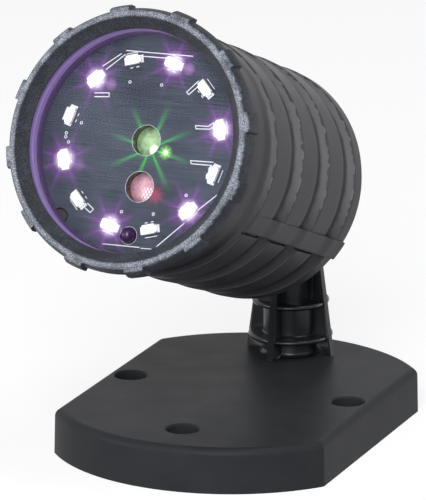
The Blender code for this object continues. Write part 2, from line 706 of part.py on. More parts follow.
def make_knob(plastic, brass, parent):
    """Makes the clamp knob and the threaded insert pressed into it, facing the fork's left ear."""
    turned = (0, -90, 0)
    face = (-KNOB_FACE_X, 0, 0)
    levels = [(0.8, 0.0), (0.0, 0.9), (0.0, KNOB_LENGTH - 1.6), (0.9, KNOB_LENGTH - 0.5), (2.2, KNOB_LENGTH)]
    bm = bmesh.new()
    add_stack(bm, [[(x, y, z) for x, y in knob_outline(shrink)] for shrink, z in levels])
    knob = make_object("clamp_knob", bm, plastic, parent, face, turned)
    bm = bmesh.new()
    add_prism(bm, hex_outline(INSERT_R + GAP), -1.0, INSERT_LENGTH + 2 * GAP)
    guide(knob, "seat of the insert", bm, "DIFFERENCE")
    bm = bmesh.new()
    add_prism(bm, circle(BOLT_R + GAP, SMALL_SEGMENTS), INSERT_LENGTH, KNOB_LENGTH - KNOB_FLOOR)
    guide(knob, "bore of the knob", bm, "DIFFERENCE")
    bm = bmesh.new()
    add_prism(bm, hex_outline(INSERT_R), GAP, GAP + INSERT_LENGTH)
    insert = make_object("knob_insert", bm, brass, parent, face, turned)
    bm = bmesh.new()
    add_prism(bm, circle(BOLT_R + GAP, SMALL_SEGMENTS), -1.0, INSERT_LENGTH + 2.0)
    guide(insert, "bore of the insert", bm, "DIFFERENCE")


# Head shell

def crest(index):
    """Gives the depth and radius of a ridge's front edge."""
    return RIDGE_FIRST + RIDGE_PITCH * index, RIDGE_R - RIDGE_FALL * index


def skin_profile():
    """Gives the ridged skin from the collar to the rear edge as (depth, radius) pairs."""
    points = [(COLLAR_FRONT, COLLAR_R), (RIDGE_FIRST - COLLAR_END, COLLAR_R - COLLAR_FALL),
              (RIDGE_FIRST - COLLAR_END + COLLAR_LEVEL, COLLAR_R - COLLAR_FALL)]
    for index in range(RIDGES):
        depth, radius = crest(index)
        points += [(depth - CREST_ROUND, radius - CREST_DROP), (depth + CREST_ROUND, radius)]
        if index == RIDGES - 1:
            break
        flat_end = (depth + FLAT_LENGTH, radius - FLAT_FALL)
        next_depth, next_radius = crest(index + 1)
        rise = (next_depth - CREST_ROUND, next_radius - CREST_DROP)
        points.append(flat_end)
        for step in range(1, GROOVE_STEPS):
            t = step / GROOVE_STEPS
            middle = flat_end[1] + (rise[1] - flat_end[1]) * t
            depth = flat_end[0] + (rise[0] - flat_end[0]) * t
            points.append((depth, middle - 4 * GROOVE_DEPTH * t * (1 - t)))
    last_depth, last_radius = crest(RIDGES - 1)
    slope = FLAT_FALL / FLAT_LENGTH
    for turn in (0, 45, 90):
        lean = math.radians(turn)
        edge_depth = BARREL_END - BARREL_EDGE_R * (1 - math.sin(lean))
        edge_fall = slope * (edge_depth - last_depth) + BARREL_EDGE_R * (1 - math.cos(lean))
        points.append((edge_depth, last_radius - edge_fall))
    return points


def cap_screw_places():
    """Gives the middles of the four screws that hold the rear cap."""
    return circle(CAP_SCREW_PLACE_R, 4, phase=45)


def carrier_screw_places():
    """Gives the middles of the three screws that hold the laser carrier to the shoulder."""
    return circle(CARRIER_SCREW_PLACE_R, 3, phase=90)


def add_side_band(bm, angle):
    """Adds the smooth band that runs level along the skin at one angle, from the first ridge to the rear."""
    front, rear = RIDGE_FIRST + CREST_ROUND, BARREL_END - BARREL_EDGE_R
    half = math.degrees(BAND_WIDTH / 2 / RIDGE_R)
    loops = []
    for depth in (front, rear):
        outer = RIDGE_R + BAND_RISE
        turns = [math.radians(angle - half + 2 * half * i / 4) for i in range(5)]
        inner = REAR_BORE_R + 0.5 * (RIDGE_R - GROOVE_DEPTH - REAR_BORE_R)
        points = [(outer * math.cos(t), outer * math.sin(t), -depth) for t in turns]
        points += [(inner * math.cos(t), inner * math.sin(t), -depth) for t in (turns[-1], turns[0])]
        loops.append(points)
    add_stack(bm, loops[::-1])


def make_barrel(material, parent):
    """Makes the head's housing: the ridged skin, the front spigot, the shoulder and the rear bosses."""
    spigot_front = GAP / 2
    outer = [(spigot_front, FRONT_BORE_R), (spigot_front, SPIGOT_OUTER_R - SPIGOT_EDGE),
             (spigot_front + SPIGOT_EDGE, SPIGOT_OUTER_R), (COLLAR_FRONT, SPIGOT_OUTER_R)]
    inner = [(BARREL_END, REAR_BORE_R), (SHOULDER_BACK, REAR_BORE_R), (SHOULDER_BACK, SHOULDER_R),
             (SHOULDER_FRONT, SHOULDER_R), (SHOULDER_FRONT, FRONT_BORE_R)]
    bm = lathe(depth_profile(outer + skin_profile() + inner), HEAD_SEGMENTS, closed=True)
    barrel = make_object("barrel_housing", bm, material, parent)
    for name, angle in (("right band", BAND_ANGLE), ("left band", 180 - BAND_ANGLE)):
        bm = bmesh.new()
        add_side_band(bm, angle)
        guide(barrel, name, bm, "UNION")
    bm = bmesh.new()
    for x, y in cap_screw_places():
        add_prism(bm, circle(CAP_BOSS_R, SMALL_SEGMENTS, (x, y)), -BARREL_END, -BARREL_END + CAP_BOSS_LENGTH)
    guide(barrel, "screw bosses", bm, "UNION")
    bm = bmesh.new()
    for x, y in carrier_screw_places():
        low, high = -SHOULDER_BACK + CARRIER_EAR_SINK, -SHOULDER_FRONT - CARRIER_EAR_SINK
        add_prism(bm, circle(CARRIER_EAR_R, SCREW_SEGMENTS, (x, y)), low, high)
    guide(barrel, "screw ears", bm, "UNION")
    bm = bmesh.new()
    turn = math.radians(PEG_ANGLE)
    place = (PEG_PLACE_R * math.cos(turn), PEG_PLACE_R * math.sin(turn))
    peg_front = BOARD_FRONT + PEG_STEP
    add_prism(bm, circle(PEG_R, SCREW_SEGMENTS, place), -SHOULDER_FRONT - PEG_SINK, -peg_front)
    guide(barrel, "locating peg", bm, "UNION")
    bm = bmesh.new()
    for x, y in cap_screw_places():
        hole_end = -CAP_FLANGE_BACK + CAP_SCREW_LENGTH
        add_prism(bm, circle(CAP_SCREW_R + GAP, SCREW_SEGMENTS, (x, y)), -BARREL_END - 1, hole_end)
    for x, y in carrier_screw_places():
        hole_front = -SHOULDER_FRONT + 1.0
        hole_r = CARRIER_SCREW_R + CARRIER_SCREW_PLAY
        add_prism(bm, circle(hole_r, SCREW_SEGMENTS, (x, y)), -SHOULDER_BACK - 1, hole_front)
    guide(barrel, "screw holes of the housing", bm, "DIFFERENCE")
    return barrel


def bezel_profile(rise):
    """Gives the bezel's section as (depth, radius) pairs, with its outside moved out by rise."""
    outer = BEZEL_R + rise
    bevel = [(BEZEL_CREST_DEPTH + BEZEL_BEVEL_DEPTH * share, outer - BEZEL_BEVEL_WIDTH * left)
             for share, left in ((0.0, 1.0), (0.35, 0.6), (1.0, 0.0))]
    dish_end = (BEZEL_CREST_DEPTH + BEZEL_FINE_EDGE, BEZEL_CREST_INNER_R - BEZEL_FINE_EDGE)
    return [(LIP_T, OPENING_R), (0.0, OPENING_R), dish_end, (BEZEL_CREST_DEPTH, BEZEL_CREST_INNER_R), *bevel,
            (BEZEL_REAR - BEZEL_FINE_EDGE, outer), (BEZEL_REAR, outer - BEZEL_FINE_EDGE),
            (BEZEL_REAR, SPIGOT_OUTER_R + GAP),
            (-GAP / 2, SPIGOT_OUTER_R + GAP), (-GAP / 2, FRONT_BORE_R - GAP), (LIP_T, FRONT_BORE_R - GAP)]


def make_bezel(material, parent):
    """Makes the bezel ring: a dished front with a rounded rim, and grip lugs round its side."""
    pitch = 360 / LUGS
    half = LUG_ANGLE / 2
    turns = ((-half - LUG_SIDE_ANGLE, 0), (-half, LUG_RISE), (half, LUG_RISE), (half + LUG_SIDE_ANGLE, 0),
             (pitch / 2, 0))
    sections = []
    for lug in range(LUGS):
        middle = LUG_PHASE + pitch * lug
        for turn, rise in turns:
            sections.append((math.radians(middle + turn), bezel_profile(rise)))
    bm = bmesh.new()
    rings = []
    for turn, section in sections:
        rings.append([bm.verts.new((r * math.cos(turn), r * math.sin(turn), -s)) for s, r in section])
    for index, ring in enumerate(rings):
        other = rings[(index + 1) % len(rings)]
        for i, vert in enumerate(ring):
            j = (i + 1) % len(ring)
            bm.faces.new((vert, ring[j], other[j], other[i]))
    return make_object("bezel_ring", bm, material, parent, sharp=30.0)


def make_front_stack(materials, parent):
    """Makes the lens, its gasket and the clamp ring that lie between the bezel's lip and the board."""
    outer = FRONT_BORE_R - GAP
    back = LENS_FRONT + LENS_T
    profile = [(LENS_FRONT, 0), (LENS_FRONT, outer - LENS_EDGE), (LENS_FRONT + LENS_EDGE, outer),
               (back - LENS_EDGE, outer), (back, outer - LENS_EDGE), (back, 0)]
    bm = lathe(depth_profile(profile), HEAD_SEGMENTS)
    make_object("front_lens", bm, materials["lens"], parent)
    rings = (("lens_gasket", GASKET_FRONT, GASKET_T, OPENING_R, "gasket"),
             ("board_clamp_ring", CLAMP_FRONT, CLAMP_T, CLAMP_INNER_R, "housing"))
    for name, front, thickness, inner, slot in rings:
        back = front + thickness
        profile = [(front, inner), (front, outer), (back, outer), (back, inner)]
        bm = lathe(depth_profile(profile), HEAD_SEGMENTS, closed=True)
        make_object(name, bm, materials[slot], parent)


# Light board and lasers

def laser_places():
    """Gives the name and middle of each laser."""
    return [("green", (LASER_X, GREEN_Y)), ("red", (LASER_X, RED_Y))]


def make_light_board(materials, parent):
    """Makes the round board, its lights and the light sensor."""
    bm = bmesh.new()
    add_prism(bm, circle(FRONT_BORE_R - GAP, HEAD_SEGMENTS), -BOARD_BACK, -BOARD_FRONT)
    board = make_object("led_board", bm, materials["board"], parent)
    bm = bmesh.new()
    low, high = -BOARD_BACK - 1, -BOARD_FRONT + 1
    for _, place in laser_places():
        add_prism(bm, circle(LASER_HOLE_R, MEDIUM_SEGMENTS, place), low, high)
    add_prism(bm, circle(SENSOR_R + GAP, SMALL_SEGMENTS, (0, SENSOR_Y)), low, high)
    turn = math.radians(PEG_ANGLE)
    notch = (PEG_PLACE_R * math.cos(turn), PEG_PLACE_R * math.sin(turn))
    add_prism(bm, circle(PEG_R + 2 * GAP, SCREW_SEGMENTS, notch), low, high)
    guide(board, "holes of the board", bm, "DIFFERENCE")
    for index in range(LEDS):
        turn = 360 / LEDS * (index + 0.5)
        place = (LED_CIRCLE_R * math.cos(math.radians(turn)), LED_CIRCLE_R * math.sin(math.radians(turn)),
                 -BOARD_FRONT + GAP)
        bm = bmesh.new()
        half = (LED_WIDTH / 2, LED_LENGTH / 2)
        loops = []
        for shrink, height in ((0.0, 0.0), (0.0, LED_HEIGHT - 0.3), (0.2, LED_HEIGHT)):
            x, y = half[0] - shrink, half[1] - shrink
            loops.append([(-x, -y, height), (x, -y, height), (x, y, height), (-x, y, height)])
        add_stack(bm, loops)
        make_object(f"led_{index + 1:02d}", bm, materials["led"], parent, place, (0, 0, turn))
    dome = [(SENSOR_R * math.cos(math.radians(a)), SENSOR_R * math.sin(math.radians(a)))
            for a in (0, 22.5, 45, 67.5, 90)]
    tip = BOARD_FRONT - SENSOR_STAND
    flange_front = BOARD_BACK + GAP
    flange_back = flange_front + SENSOR_FLANGE_T
    profile = [(0, -flange_back), (SENSOR_FLANGE_R, -flange_back), (SENSOR_FLANGE_R, -flange_front),
               (SENSOR_R, -flange_front)]
    profile += [(max(r, 0), -tip + z) for r, z in dome[:-1]] + [(0, -tip + SENSOR_R)]
    make_object("light_sensor", lathe(profile, SMALL_SEGMENTS), materials["sensor"], parent, (0, SENSOR_Y, 0))


def make_lasers(materials, parent):
    """Makes the two laser modules, their gratings and the carrier that holds them behind the board."""
    seat = MODULE_FRONT + GRATING_T + 2 * GAP
    for name, (x, y) in laser_places():
        back = MODULE_FRONT + MODULE_LENGTH
        tail = back + MODULE_TAIL_LENGTH
        profile = [(seat, 0), (seat, GRATING_R + GAP), (MODULE_FRONT, GRATING_R + GAP),
                   (MODULE_FRONT, MODULE_R - MODULE_EDGE), (MODULE_FRONT + MODULE_EDGE, MODULE_R),
                   (back, MODULE_R),
                   (back, MODULE_TAIL_R), (tail, MODULE_TAIL_R), (tail, 0)]
        bm = lathe(depth_profile(profile), SMALL_SEGMENTS)
        make_object(f"{name}_laser_module", bm, materials["brass"], parent, (x, y, 0))
        front = MODULE_FRONT + GAP
        profile = [(front, 0), (front, GRATING_R), (front + GRATING_T, GRATING_R), (front + GRATING_T, 0)]
        bm = lathe(depth_profile(profile), SMALL_SEGMENTS)
        make_object(f"{name}_grating", bm, materials[f"{name}_grating"], parent, (x, y, 0))
    make_carrier(materials["aluminium"], parent)
    sizes = (CARRIER_SCREW_R, CARRIER_SCREW_HEAD_R, CARRIER_SCREW_HEAD_T, CARRIER_SCREW_LENGTH)
    seat = -CARRIER_BACK - GAP
    for index, place in enumerate(carrier_screw_places()):
        make_screw(f"carrier_screw_{index + 1}", parent, materials["steel"], place, seat, sizes)


def make_carrier(material, parent):
    """Makes the carrier: a plate behind the shoulder, with a block that both modules are pushed into."""
    plate_r = REAR_BORE_R - GAP
    bm = bmesh.new()
    add_prism(bm, circle(plate_r, HEAD_SEGMENTS), -CARRIER_BACK, -CARRIER_FRONT)
    carrier = make_object("laser_carrier", bm, material, parent)
    reach = MODULE_R + CARRIER_BLOCK_MARGIN
    bm = bmesh.new()
    block_back = CARRIER_BACK + CARRIER_BLOCK_T
    low = (LASER_X - reach, RED_Y - reach, -block_back)
    add_box(bm, low, (LASER_X + reach, GREEN_Y + reach, -CARRIER_BACK + 1))
    edges = [e for e in bm.edges if abs(e.verts[0].co.z - e.verts[1].co.z) > 1]
    bmesh.ops.bevel(bm, geom=edges, offset=CARRIER_BLOCK_EDGE_R, segments=2, affect="EDGES")
    guide(carrier, "block of the carrier", bm, "UNION")
    bm = bmesh.new()
    low, high = -block_back - 1, -CARRIER_FRONT + 1
    for _, place in laser_places():
        add_prism(bm, circle(MODULE_R + GAP, MEDIUM_SEGMENTS, place), low, high)
    add_prism(bm, circle(SENSOR_FLANGE_R + GAP, SMALL_SEGMENTS, (0, SENSOR_Y)), low, high)
    for place in carrier_screw_places():
        add_prism(bm, circle(CARRIER_SCREW_R + CARRIER_SCREW_PLAY, SCREW_SEGMENTS, place), low, high)
    guide(carrier, "holes of the carrier", bm, "DIFFERENCE")


def make_driver(materials, parent):
    """Makes the driver board, the pillars that carry it, its screws and its two tall parts."""
    places = circle(PILLAR_PLACE_R, 3, phase=90)
    bm = bmesh.new()
    add_prism(bm, circle(DRIVER_R, MEDIUM_SEGMENTS), -DRIVER_BACK, -DRIVER_FRONT)
    board = make_object("driver_board", bm, materials["board"], parent)
    bm = bmesh.new()
    for place in places:
        hole = circle(DRIVER_SCREW_R + GAP, SCREW_SEGMENTS, place)
        add_prism(bm, hole, -DRIVER_BACK - 1, -DRIVER_FRONT + 1)
    guide(board, "screw holes of the driver board", bm, "DIFFERENCE")
    sizes = (DRIVER_SCREW_R, DRIVER_SCREW_HEAD_R, DRIVER_SCREW_HEAD_T, DRIVER_SCREW_LENGTH)
    hole_r = DRIVER_SCREW_R + GAP
    hole_z = DRIVER_SCREW_LENGTH - BOARD_T
    for index, (x, y) in enumerate(places):
        bm = bmesh.new()
        add_prism(bm, hex_outline(PILLAR_R), 0, PILLAR_LENGTH)
        location = (x, y, -DRIVER_FRONT + GAP)
        pillar = make_object(f"driver_pillar_{index + 1}", bm, materials["brass"], parent, location)
        bm = bmesh.new()
        add_prism(bm, circle(hole_r, SCREW_SEGMENTS), -1.0, hole_z)
        guide(pillar, f"thread of pillar {index + 1}", bm, "DIFFERENCE")
        make_screw(f"driver_screw_{index + 1}", parent, materials["steel"], (x, y), -DRIVER_BACK - GAP, sizes)
    low = -DRIVER_BACK - GAP - CAPACITOR_LENGTH
    bm = lathe([(0, low), (CAPACITOR_R - CAPACITOR_EDGE, low), (CAPACITOR_R, low + CAPACITOR_EDGE),
                (CAPACITOR_R, -DRIVER_BACK - GAP), (0, -DRIVER_BACK - GAP)], SMALL_SEGMENTS)
    make_object("driver_capacitor", bm, materials["housing"], parent, (CAPACITOR_X, CAPACITOR_Y, 0))
    low = -DRIVER_BACK - GAP - COIL_LENGTH
    waist = COIL_R - COIL_FLANGE_WIDTH
    high = low + COIL_LENGTH
    bm = lathe([(0, low), (COIL_R, low), (COIL_R, low + COIL_FLANGE_T), (waist, low + COIL_FLANGE_T),
                (waist, high - COIL_FLANGE_T), (COIL_R, high - COIL_FLANGE_T), (COIL_R, high), (0, high)],
               SMALL_SEGMENTS)
    make_object("driver_coil", bm, materials["steel"], parent, (COIL_X, COIL_Y, 0))


# Rear cap

def make_cap(materials, parent):
    """Makes the rear cap with its hinge knuckle, the gasket under it and its screws."""
    inner_front = BARREL_END + GAP
    wall_back = CAP_FACE - CAP_WALL
    cavity_r = CAP_FACE_R - CAP_WALL
    pad_r = CAP_GASKET_INNER_R - 2 * GAP
    profile = [(wall_back, 0), (wall_back, cavity_r), (inner_front, cavity_r), (inner_front, pad_r),
               (CAP_FLANGE_FRONT, pad_r), (CAP_FLANGE_FRONT, CAP_R), (CAP_FLANGE_BACK - CAP_EDGE, CAP_R),
               (CAP_FLANGE_BACK, CAP_R - CAP_EDGE), (CAP_FLANGE_BACK, CAP_CONE_R),
               (CAP_FACE - CAP_DRAFT - CAP_FACE_EDGE, CAP_FACE_R + CAP_DRAFT),
               (CAP_FACE, CAP_FACE_R - CAP_FACE_EDGE), (CAP_FACE, 0)]
    cap = make_object("rear_cap", lathe(depth_profile(profile), HEAD_SEGMENTS), materials["housing"], parent)
    root = HINGE_TO_OPENING - CAP_FACE + 1.0
    outline = hull_of_circle_and_edge(KNUCKLE_R, root, ARM_ROOT_HALF)
    level = Matrix.Rotation(math.radians(-HEAD_ROLL), 4, "Z") @ Matrix.Translation((0, 0, -HINGE_TO_OPENING))
    arm_turn = level @ Matrix.Rotation(math.pi / 2, 4, "Y")
    bm = bmesh.new()
    add_plate(bm, outline, KNUCKLE_WIDTH, arm_turn)
    guide(cap, "knuckle arm", bm, "UNION")
    bm = bmesh.new()
    bore_turn = level @ Matrix.Rotation(math.pi / 2, 4, "Y")
    add_plate(bm, circle(BOLT_R + GAP, SMALL_SEGMENTS), 2 * KNUCKLE_WIDTH, bore_turn)
    for place in cap_screw_places():
        hole = circle(CAP_SCREW_R + GAP, SCREW_SEGMENTS, place)
        add_prism(bm, hole, -CAP_FLANGE_BACK - 1, -inner_front + 1)
    add_prism(bm, circle(GLAND_R + GAP, SMALL_SEGMENTS, (0, GLAND_OFFSET)), -CAP_FACE - 1, -wall_back + 1)
    guide(cap, "bores of the cap", bm, "DIFFERENCE")
    outer = CAP_R - GAP
    back = CAP_GASKET_FRONT + CAP_GASKET_T
    profile = [(CAP_GASKET_FRONT, CAP_GASKET_INNER_R), (CAP_GASKET_FRONT, outer), (back, outer),
               (back, CAP_GASKET_INNER_R)]
    bm = lathe(depth_profile(profile), HEAD_SEGMENTS, closed=True)
    make_object("cap_gasket", bm, materials["rubber"], parent)
    sizes = (CAP_SCREW_R, CAP_SCREW_HEAD_R, CAP_SCREW_HEAD_T, CAP_SCREW_LENGTH)
    for index, place in enumerate(cap_screw_places()):
        make_screw(f"cap_screw_{index + 1}", parent, materials["steel"], place, -CAP_FLANGE_BACK - GAP, sizes)
    make_gland(materials, parent, wall_back)


def make_gland(materials, parent, wall_back):
    """Makes the cable gland in the cap's face and the nut that holds it from inside."""
    place = (0, GLAND_OFFSET, 0)
    nut_t = GLAND_NUT_T
    front = wall_back - GAP - nut_t - 1.0
    seat = CAP_FACE + GAP
    end = seat + GLAND_LENGTH
    sleeve_r = GLAND_FLANGE_R - GLAND_STEP
    tip_r = (sleeve_r + GLAND_BORE_R) / 2
    profile = [(front, GLAND_BORE_R), (front, GLAND_R), (seat, GLAND_R), (seat, GLAND_FLANGE_R),
               (seat + GLAND_FLANGE_T, GLAND_FLANGE_R), (seat + GLAND_FLANGE_T, sleeve_r),
               (end - GLAND_TAPER, sleeve_r), (end - GLAND_TIP, tip_r + GLAND_STEP / 2), (end, tip_r),
               (end, GLAND_BORE_R)]
    bm = lathe(depth_profile(profile), SMALL_SEGMENTS, closed=True)
    make_object("cable_gland", bm, materials["rubber"], parent, place)
    bm = bmesh.new()
    nut_back = -(wall_back - GAP)
    add_prism(bm, hex_outline(GLAND_NUT_R), nut_back, nut_back + nut_t)
    nut = make_object("gland_nut", bm, materials["housing"], parent, place)
    bm = bmesh.new()
    add_prism(bm, circle(GLAND_R + GAP, SMALL_SEGMENTS), nut_back - 1, nut_back + nut_t + 1)
    guide(nut, "bore of the nut", bm, "DIFFERENCE")


def make_materials():
    """Makes the finishes of the whole projector."""
    return {
        "base": make_material("base plastic", (0.042, 0.045, 0.050), 0.5),
        "housing": make_material("housing plastic", (0.055, 0.053, 0.058), 0.45),
        "bezel": make_material("bezel plastic", (0.045, 0.045, 0.052), 0.55),
        "lens": make_material("clear lens", (0.9, 0.92, 0.95), 0.05, alpha=0.25),
        "gasket": make_material("pale gasket", (0.62, 0.58, 0.70), 0.5),
        "rubber": make_material("black rubber", (0.02, 0.02, 0.021), 0.75),
        "board": make_material("board lacquer", (0.06, 0.07, 0.09), 0.4),
        "led": make_material("led body", (0.85, 0.83, 0.86), 0.35),
        "sensor": make_material("sensor dome", (0.06, 0.01, 0.10), 0.1),
        "green_grating": make_material("green grating", (0.35, 0.62, 0.33), 0.2),
        "red_grating": make_material("red grating", (0.66, 0.42, 0.50), 0.2),
        "brass": make_material("brass", (0.62, 0.45, 0.18), 0.3, 1.0),
        "aluminium": make_material("aluminium", (0.62, 0.63, 0.65), 0.35, 1.0),
        "steel": make_material("zinc steel", (0.45, 0.45, 0.46), 0.35, 1.0),
    }


def main():
    """Builds the projector, from the base up to the head."""
    clear_scene()
    materials = make_materials()
    make_base(materials["base"])
    neck_foot = make_empty("neck_foot", None, (0, NECK_Y, NECK_SEAT_Z), (0, 0, PAN))
    make_neck(materials["base"], neck_foot)
    neck_line = make_empty("neck_line", None, (0, NECK_Y, 0))
    make_neck_fixings(materials["steel"], neck_line)
    make_pan_fixings(materials["steel"], neck_line)
    pan_axis = make_empty("pan_axis", None, (0, NECK_Y, YOKE_Z), (0, 0, PAN))
    make_yoke(materials["base"], pan_axis)
    fork_axis = make_empty("fork_axis", pan_axis, (0, 0, HINGE_Z - YOKE_Z))
    make_hinge_fixings(materials["steel"], fork_axis)
    make_knob(materials["base"], materials["brass"], fork_axis)
    tilt_axis = make_empty("tilt_axis", pan_axis, (0, 0, HINGE_Z - YOKE_Z), (-PITCH, 0, 0))
    head = make_empty("head_opening", tilt_axis, (0, -HINGE_TO_OPENING, 0), (90, -HEAD_ROLL, 0))
    make_barrel(materials["housing"], head)
    make_bezel(materials["bezel"], head)
    make_front_stack(materials, head)
    make_light_board(materials, head)
    make_lasers(materials, head)
    make_driver(materials, head)
    make_cap(materials, head)


main()
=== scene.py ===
"""Looks of an outdoor light projector: a ridged head on a fork, a ribbed neck and a moulded base plate.

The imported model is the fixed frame. Each class here models one sub-assembly in millimetres in its own
frame, places it in the frame's metres, and dresses it. The head's own frame has its origin in the middle
of the bezel's opening, +Z out of the lens, +X to the right seen from the front, and +Y up.
"""
import json
import logging
import math
from collections.abc import Callable
from dataclasses import dataclass, field
from enum import Enum

import bmesh
import bpy
from mathutils import Euler, Matrix, Vector


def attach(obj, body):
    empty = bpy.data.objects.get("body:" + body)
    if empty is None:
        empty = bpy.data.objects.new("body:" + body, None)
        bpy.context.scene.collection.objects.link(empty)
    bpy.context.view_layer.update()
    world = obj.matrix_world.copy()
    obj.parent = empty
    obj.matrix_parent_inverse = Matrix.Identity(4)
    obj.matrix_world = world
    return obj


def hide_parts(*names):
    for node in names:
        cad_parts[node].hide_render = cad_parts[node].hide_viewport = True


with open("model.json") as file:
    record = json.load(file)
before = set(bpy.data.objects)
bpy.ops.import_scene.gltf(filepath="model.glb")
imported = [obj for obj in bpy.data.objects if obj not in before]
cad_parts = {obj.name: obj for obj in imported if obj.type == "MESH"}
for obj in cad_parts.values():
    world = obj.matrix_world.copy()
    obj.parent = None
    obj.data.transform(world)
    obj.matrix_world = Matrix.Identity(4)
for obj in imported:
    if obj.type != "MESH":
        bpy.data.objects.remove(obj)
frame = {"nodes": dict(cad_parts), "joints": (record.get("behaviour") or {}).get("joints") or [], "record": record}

log = logging.getLogger("projector")
MM = 0.001
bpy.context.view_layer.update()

Point2 = tuple[float, float]
Point3 = tuple[float, float, float]
Colour = tuple[float, float, float]
Thing = bpy.types.Object
Material = bpy.types.Material
Socket = bpy.types.NodeSocket
Face = bmesh.types.BMFace


class Body(Enum):
    """The moving bodies of the frame."""

    BASE = "base"
    FORK = "fork"
    KNOB = "knob"
    HEAD = "head"


class Operation(Enum):
    """What a tool does to the piece it is combined with."""

    CUT = "DIFFERENCE"
    ADD = "UNION"
    KEEP = "INTERSECT"


# Frames, in millimetres to the row's metres

PITCH = 21.63
PAN = -4.75
ROLL = 1.6
HINGE_TO_OPENING = 127.08
JOINTS = {joint["name"]: joint for joint in frame["joints"]}
HINGE = Vector(JOINTS["tilt"]["pos_m"])
NECK_AXIS = Vector((HINGE.x, HINGE.y, 0.0))
TO_METRES = Matrix.Scale(MM, 4)
ROW = TO_METRES


def turn(angle: float, axis: str) -> Matrix:
    """Gives a rotation by an angle in degrees about an axis."""
    return Matrix.Rotation(math.radians(angle), 4, axis)


def shift(x: float = 0.0, y: float = 0.0, z: float = 0.0) -> Matrix:
    """Gives a move in millimetres."""
    return Matrix.Translation((x, y, z))


NECK = Matrix.Translation(NECK_AXIS) @ TO_METRES
FORK = Matrix.Translation(HINGE) @ turn(PAN, "Z") @ TO_METRES
HEAD = (FORK @ turn(-PITCH, "X") @ shift(y=-HINGE_TO_OPENING) @ turn(-ROLL, "Y")
        @ turn(90, "X"))


# Modelling by hand, in millimetres

def deselect() -> None:
    """Deselects every object."""
    bpy.ops.object.select_all(action="DESELECT")


def activate(item: Thing) -> None:
    """Selects one object alone and makes it the active one.

    Args:
        item: The object to work on.
    """
    deselect()
    item.select_set(True)
    bpy.context.view_layer.objects.active = item


def edit() -> None:
    """Opens the active object's mesh."""
    bpy.ops.object.mode_set(mode="EDIT")


def close() -> None:
    """Closes the active object's mesh."""
    bpy.ops.object.mode_set(mode="OBJECT")


def tidy_mesh() -> None:
    """Merges doubles and points the faces of the open mesh outwards."""
    bpy.ops.mesh.select_all(action="SELECT")
    bpy.ops.mesh.remove_doubles(threshold=1e-4)
    bpy.ops.mesh.normals_make_consistent(inside=False)


def select_faces(item: Thing, wanted: Callable[[Face], bool]) -> None:
    """Opens an object's mesh with some of its faces selected.

    Args:
        item: The active object.
        wanted: Says whether a face is selected.
    """
    edit()
    bpy.ops.mesh.select_mode(type="FACE")
    mesh = bmesh.from_edit_mesh(item.data)
    for face in mesh.faces:
        face.select_set(wanted(face))
    bmesh.update_edit_mesh(item.data)


def draw(name: str, points: list[Point3], closed: bool = True) -> Thing:
    """Draws a line of vertices, each extruded from the last.

    Args:
        name: The new object's name.
        points: The places of the vertices.
        closed: Whether the last is joined to the first.

    Returns:
        The object, with its mesh open and all of it selected.
    """
    deselect()
    bpy.ops.mesh.primitive_plane_add(size=1.0)
    item = bpy.context.object
    item.name = name
    edit()
    bpy.ops.mesh.select_mode(type="VERT")
    bpy.ops.mesh.merge(type="CENTER")
    line = [Vector(p) for p in points]
    bpy.ops.transform.translate(value=line[0])
    route = line + line[:1] if closed else line
    for here, there in zip(route, route[1:]):
        bpy.ops.mesh.extrude_vertices_move(TRANSFORM_OT_translate={"value": there - here})
    bpy.ops.mesh.select_all(action="SELECT")
    bpy.ops.mesh.remove_doubles(threshold=1e-4)
    return item


def lathe(name: str, profile: list[Point2], steps: int) -> Thing:
    """Spins a section of (radius, height) about Z.

    Args:
        name: The new object's name.
        profile: The section's corners: a loop, or a line that starts and ends on the axis.
        steps: How many faces go round.

    Returns:
        The finished object, closed.
    """
    item = draw(name, [(r, 0.0, z) for r, z in profile], closed=profile[0][0] > 0)
    bpy.ops.mesh.spin(steps=steps, angle=2 * math.pi, center=(0, 0, 0), axis=(0, 0, 1))
    tidy_mesh()
    close()
    return item


def raise_outline(name: str, outline: list[Point2], low: float, high: float) -> Thing:
    """Makes a face from an outline and extrudes it along Z.

    Args:
        name: The new object's name.
        outline: The outline's corners.
        low: The height of the face.
        high: The height that it is raised to.

    Returns:
        The finished object, closed.
    """
    item = draw(name, [(x, y, low) for x, y in outline])
    bpy.ops.mesh.edge_face_add()
    bpy.ops.mesh.extrude_region_move(TRANSFORM_OT_translate={"value": (0, 0, high - low)})
    tidy_mesh()
    close()
    return item


def block(name: str, low: Point3, high: Point3) -> Thing:
    """Adds a cube stretched between two corners.

    Args:
        name: The new object's name.
        low: Its lowest corner.
        high: Its highest corner.

    Returns:
        The object.
    """
    deselect()
    centre = (Vector(low) + Vector(high)) / 2
    bpy.ops.mesh.primitive_cube_add(size=1.0, location=centre, scale=Vector(high) - Vector(low))
    item = bpy.context.object
    item.name = name
    bpy.ops.object.transform_apply(location=True, rotation=True, scale=True)
    return item


def rod(name: str, radius: float, low: float, high: float, centre: Point2 = (0, 0),
        sides: int = 48) -> Thing:
    """Adds an upright cylinder or prism.

    Args:
        name: The new object's name.
        radius: Its radius, to the corners.
        low: The height of its foot.
        high: The height of its top.
        centre: The middle of its foot.
        sides: How many sides it has.

    Returns:
        The object.
    """
    deselect()
    bpy.ops.mesh.primitive_cylinder_add(vertices=sides, radius=radius, depth=high - low,
                                        location=(*centre, (low + high) / 2))
    item = bpy.context.object
    item.name = name
    bpy.ops.object.transform_apply(location=True, rotation=True, scale=True)
    return item


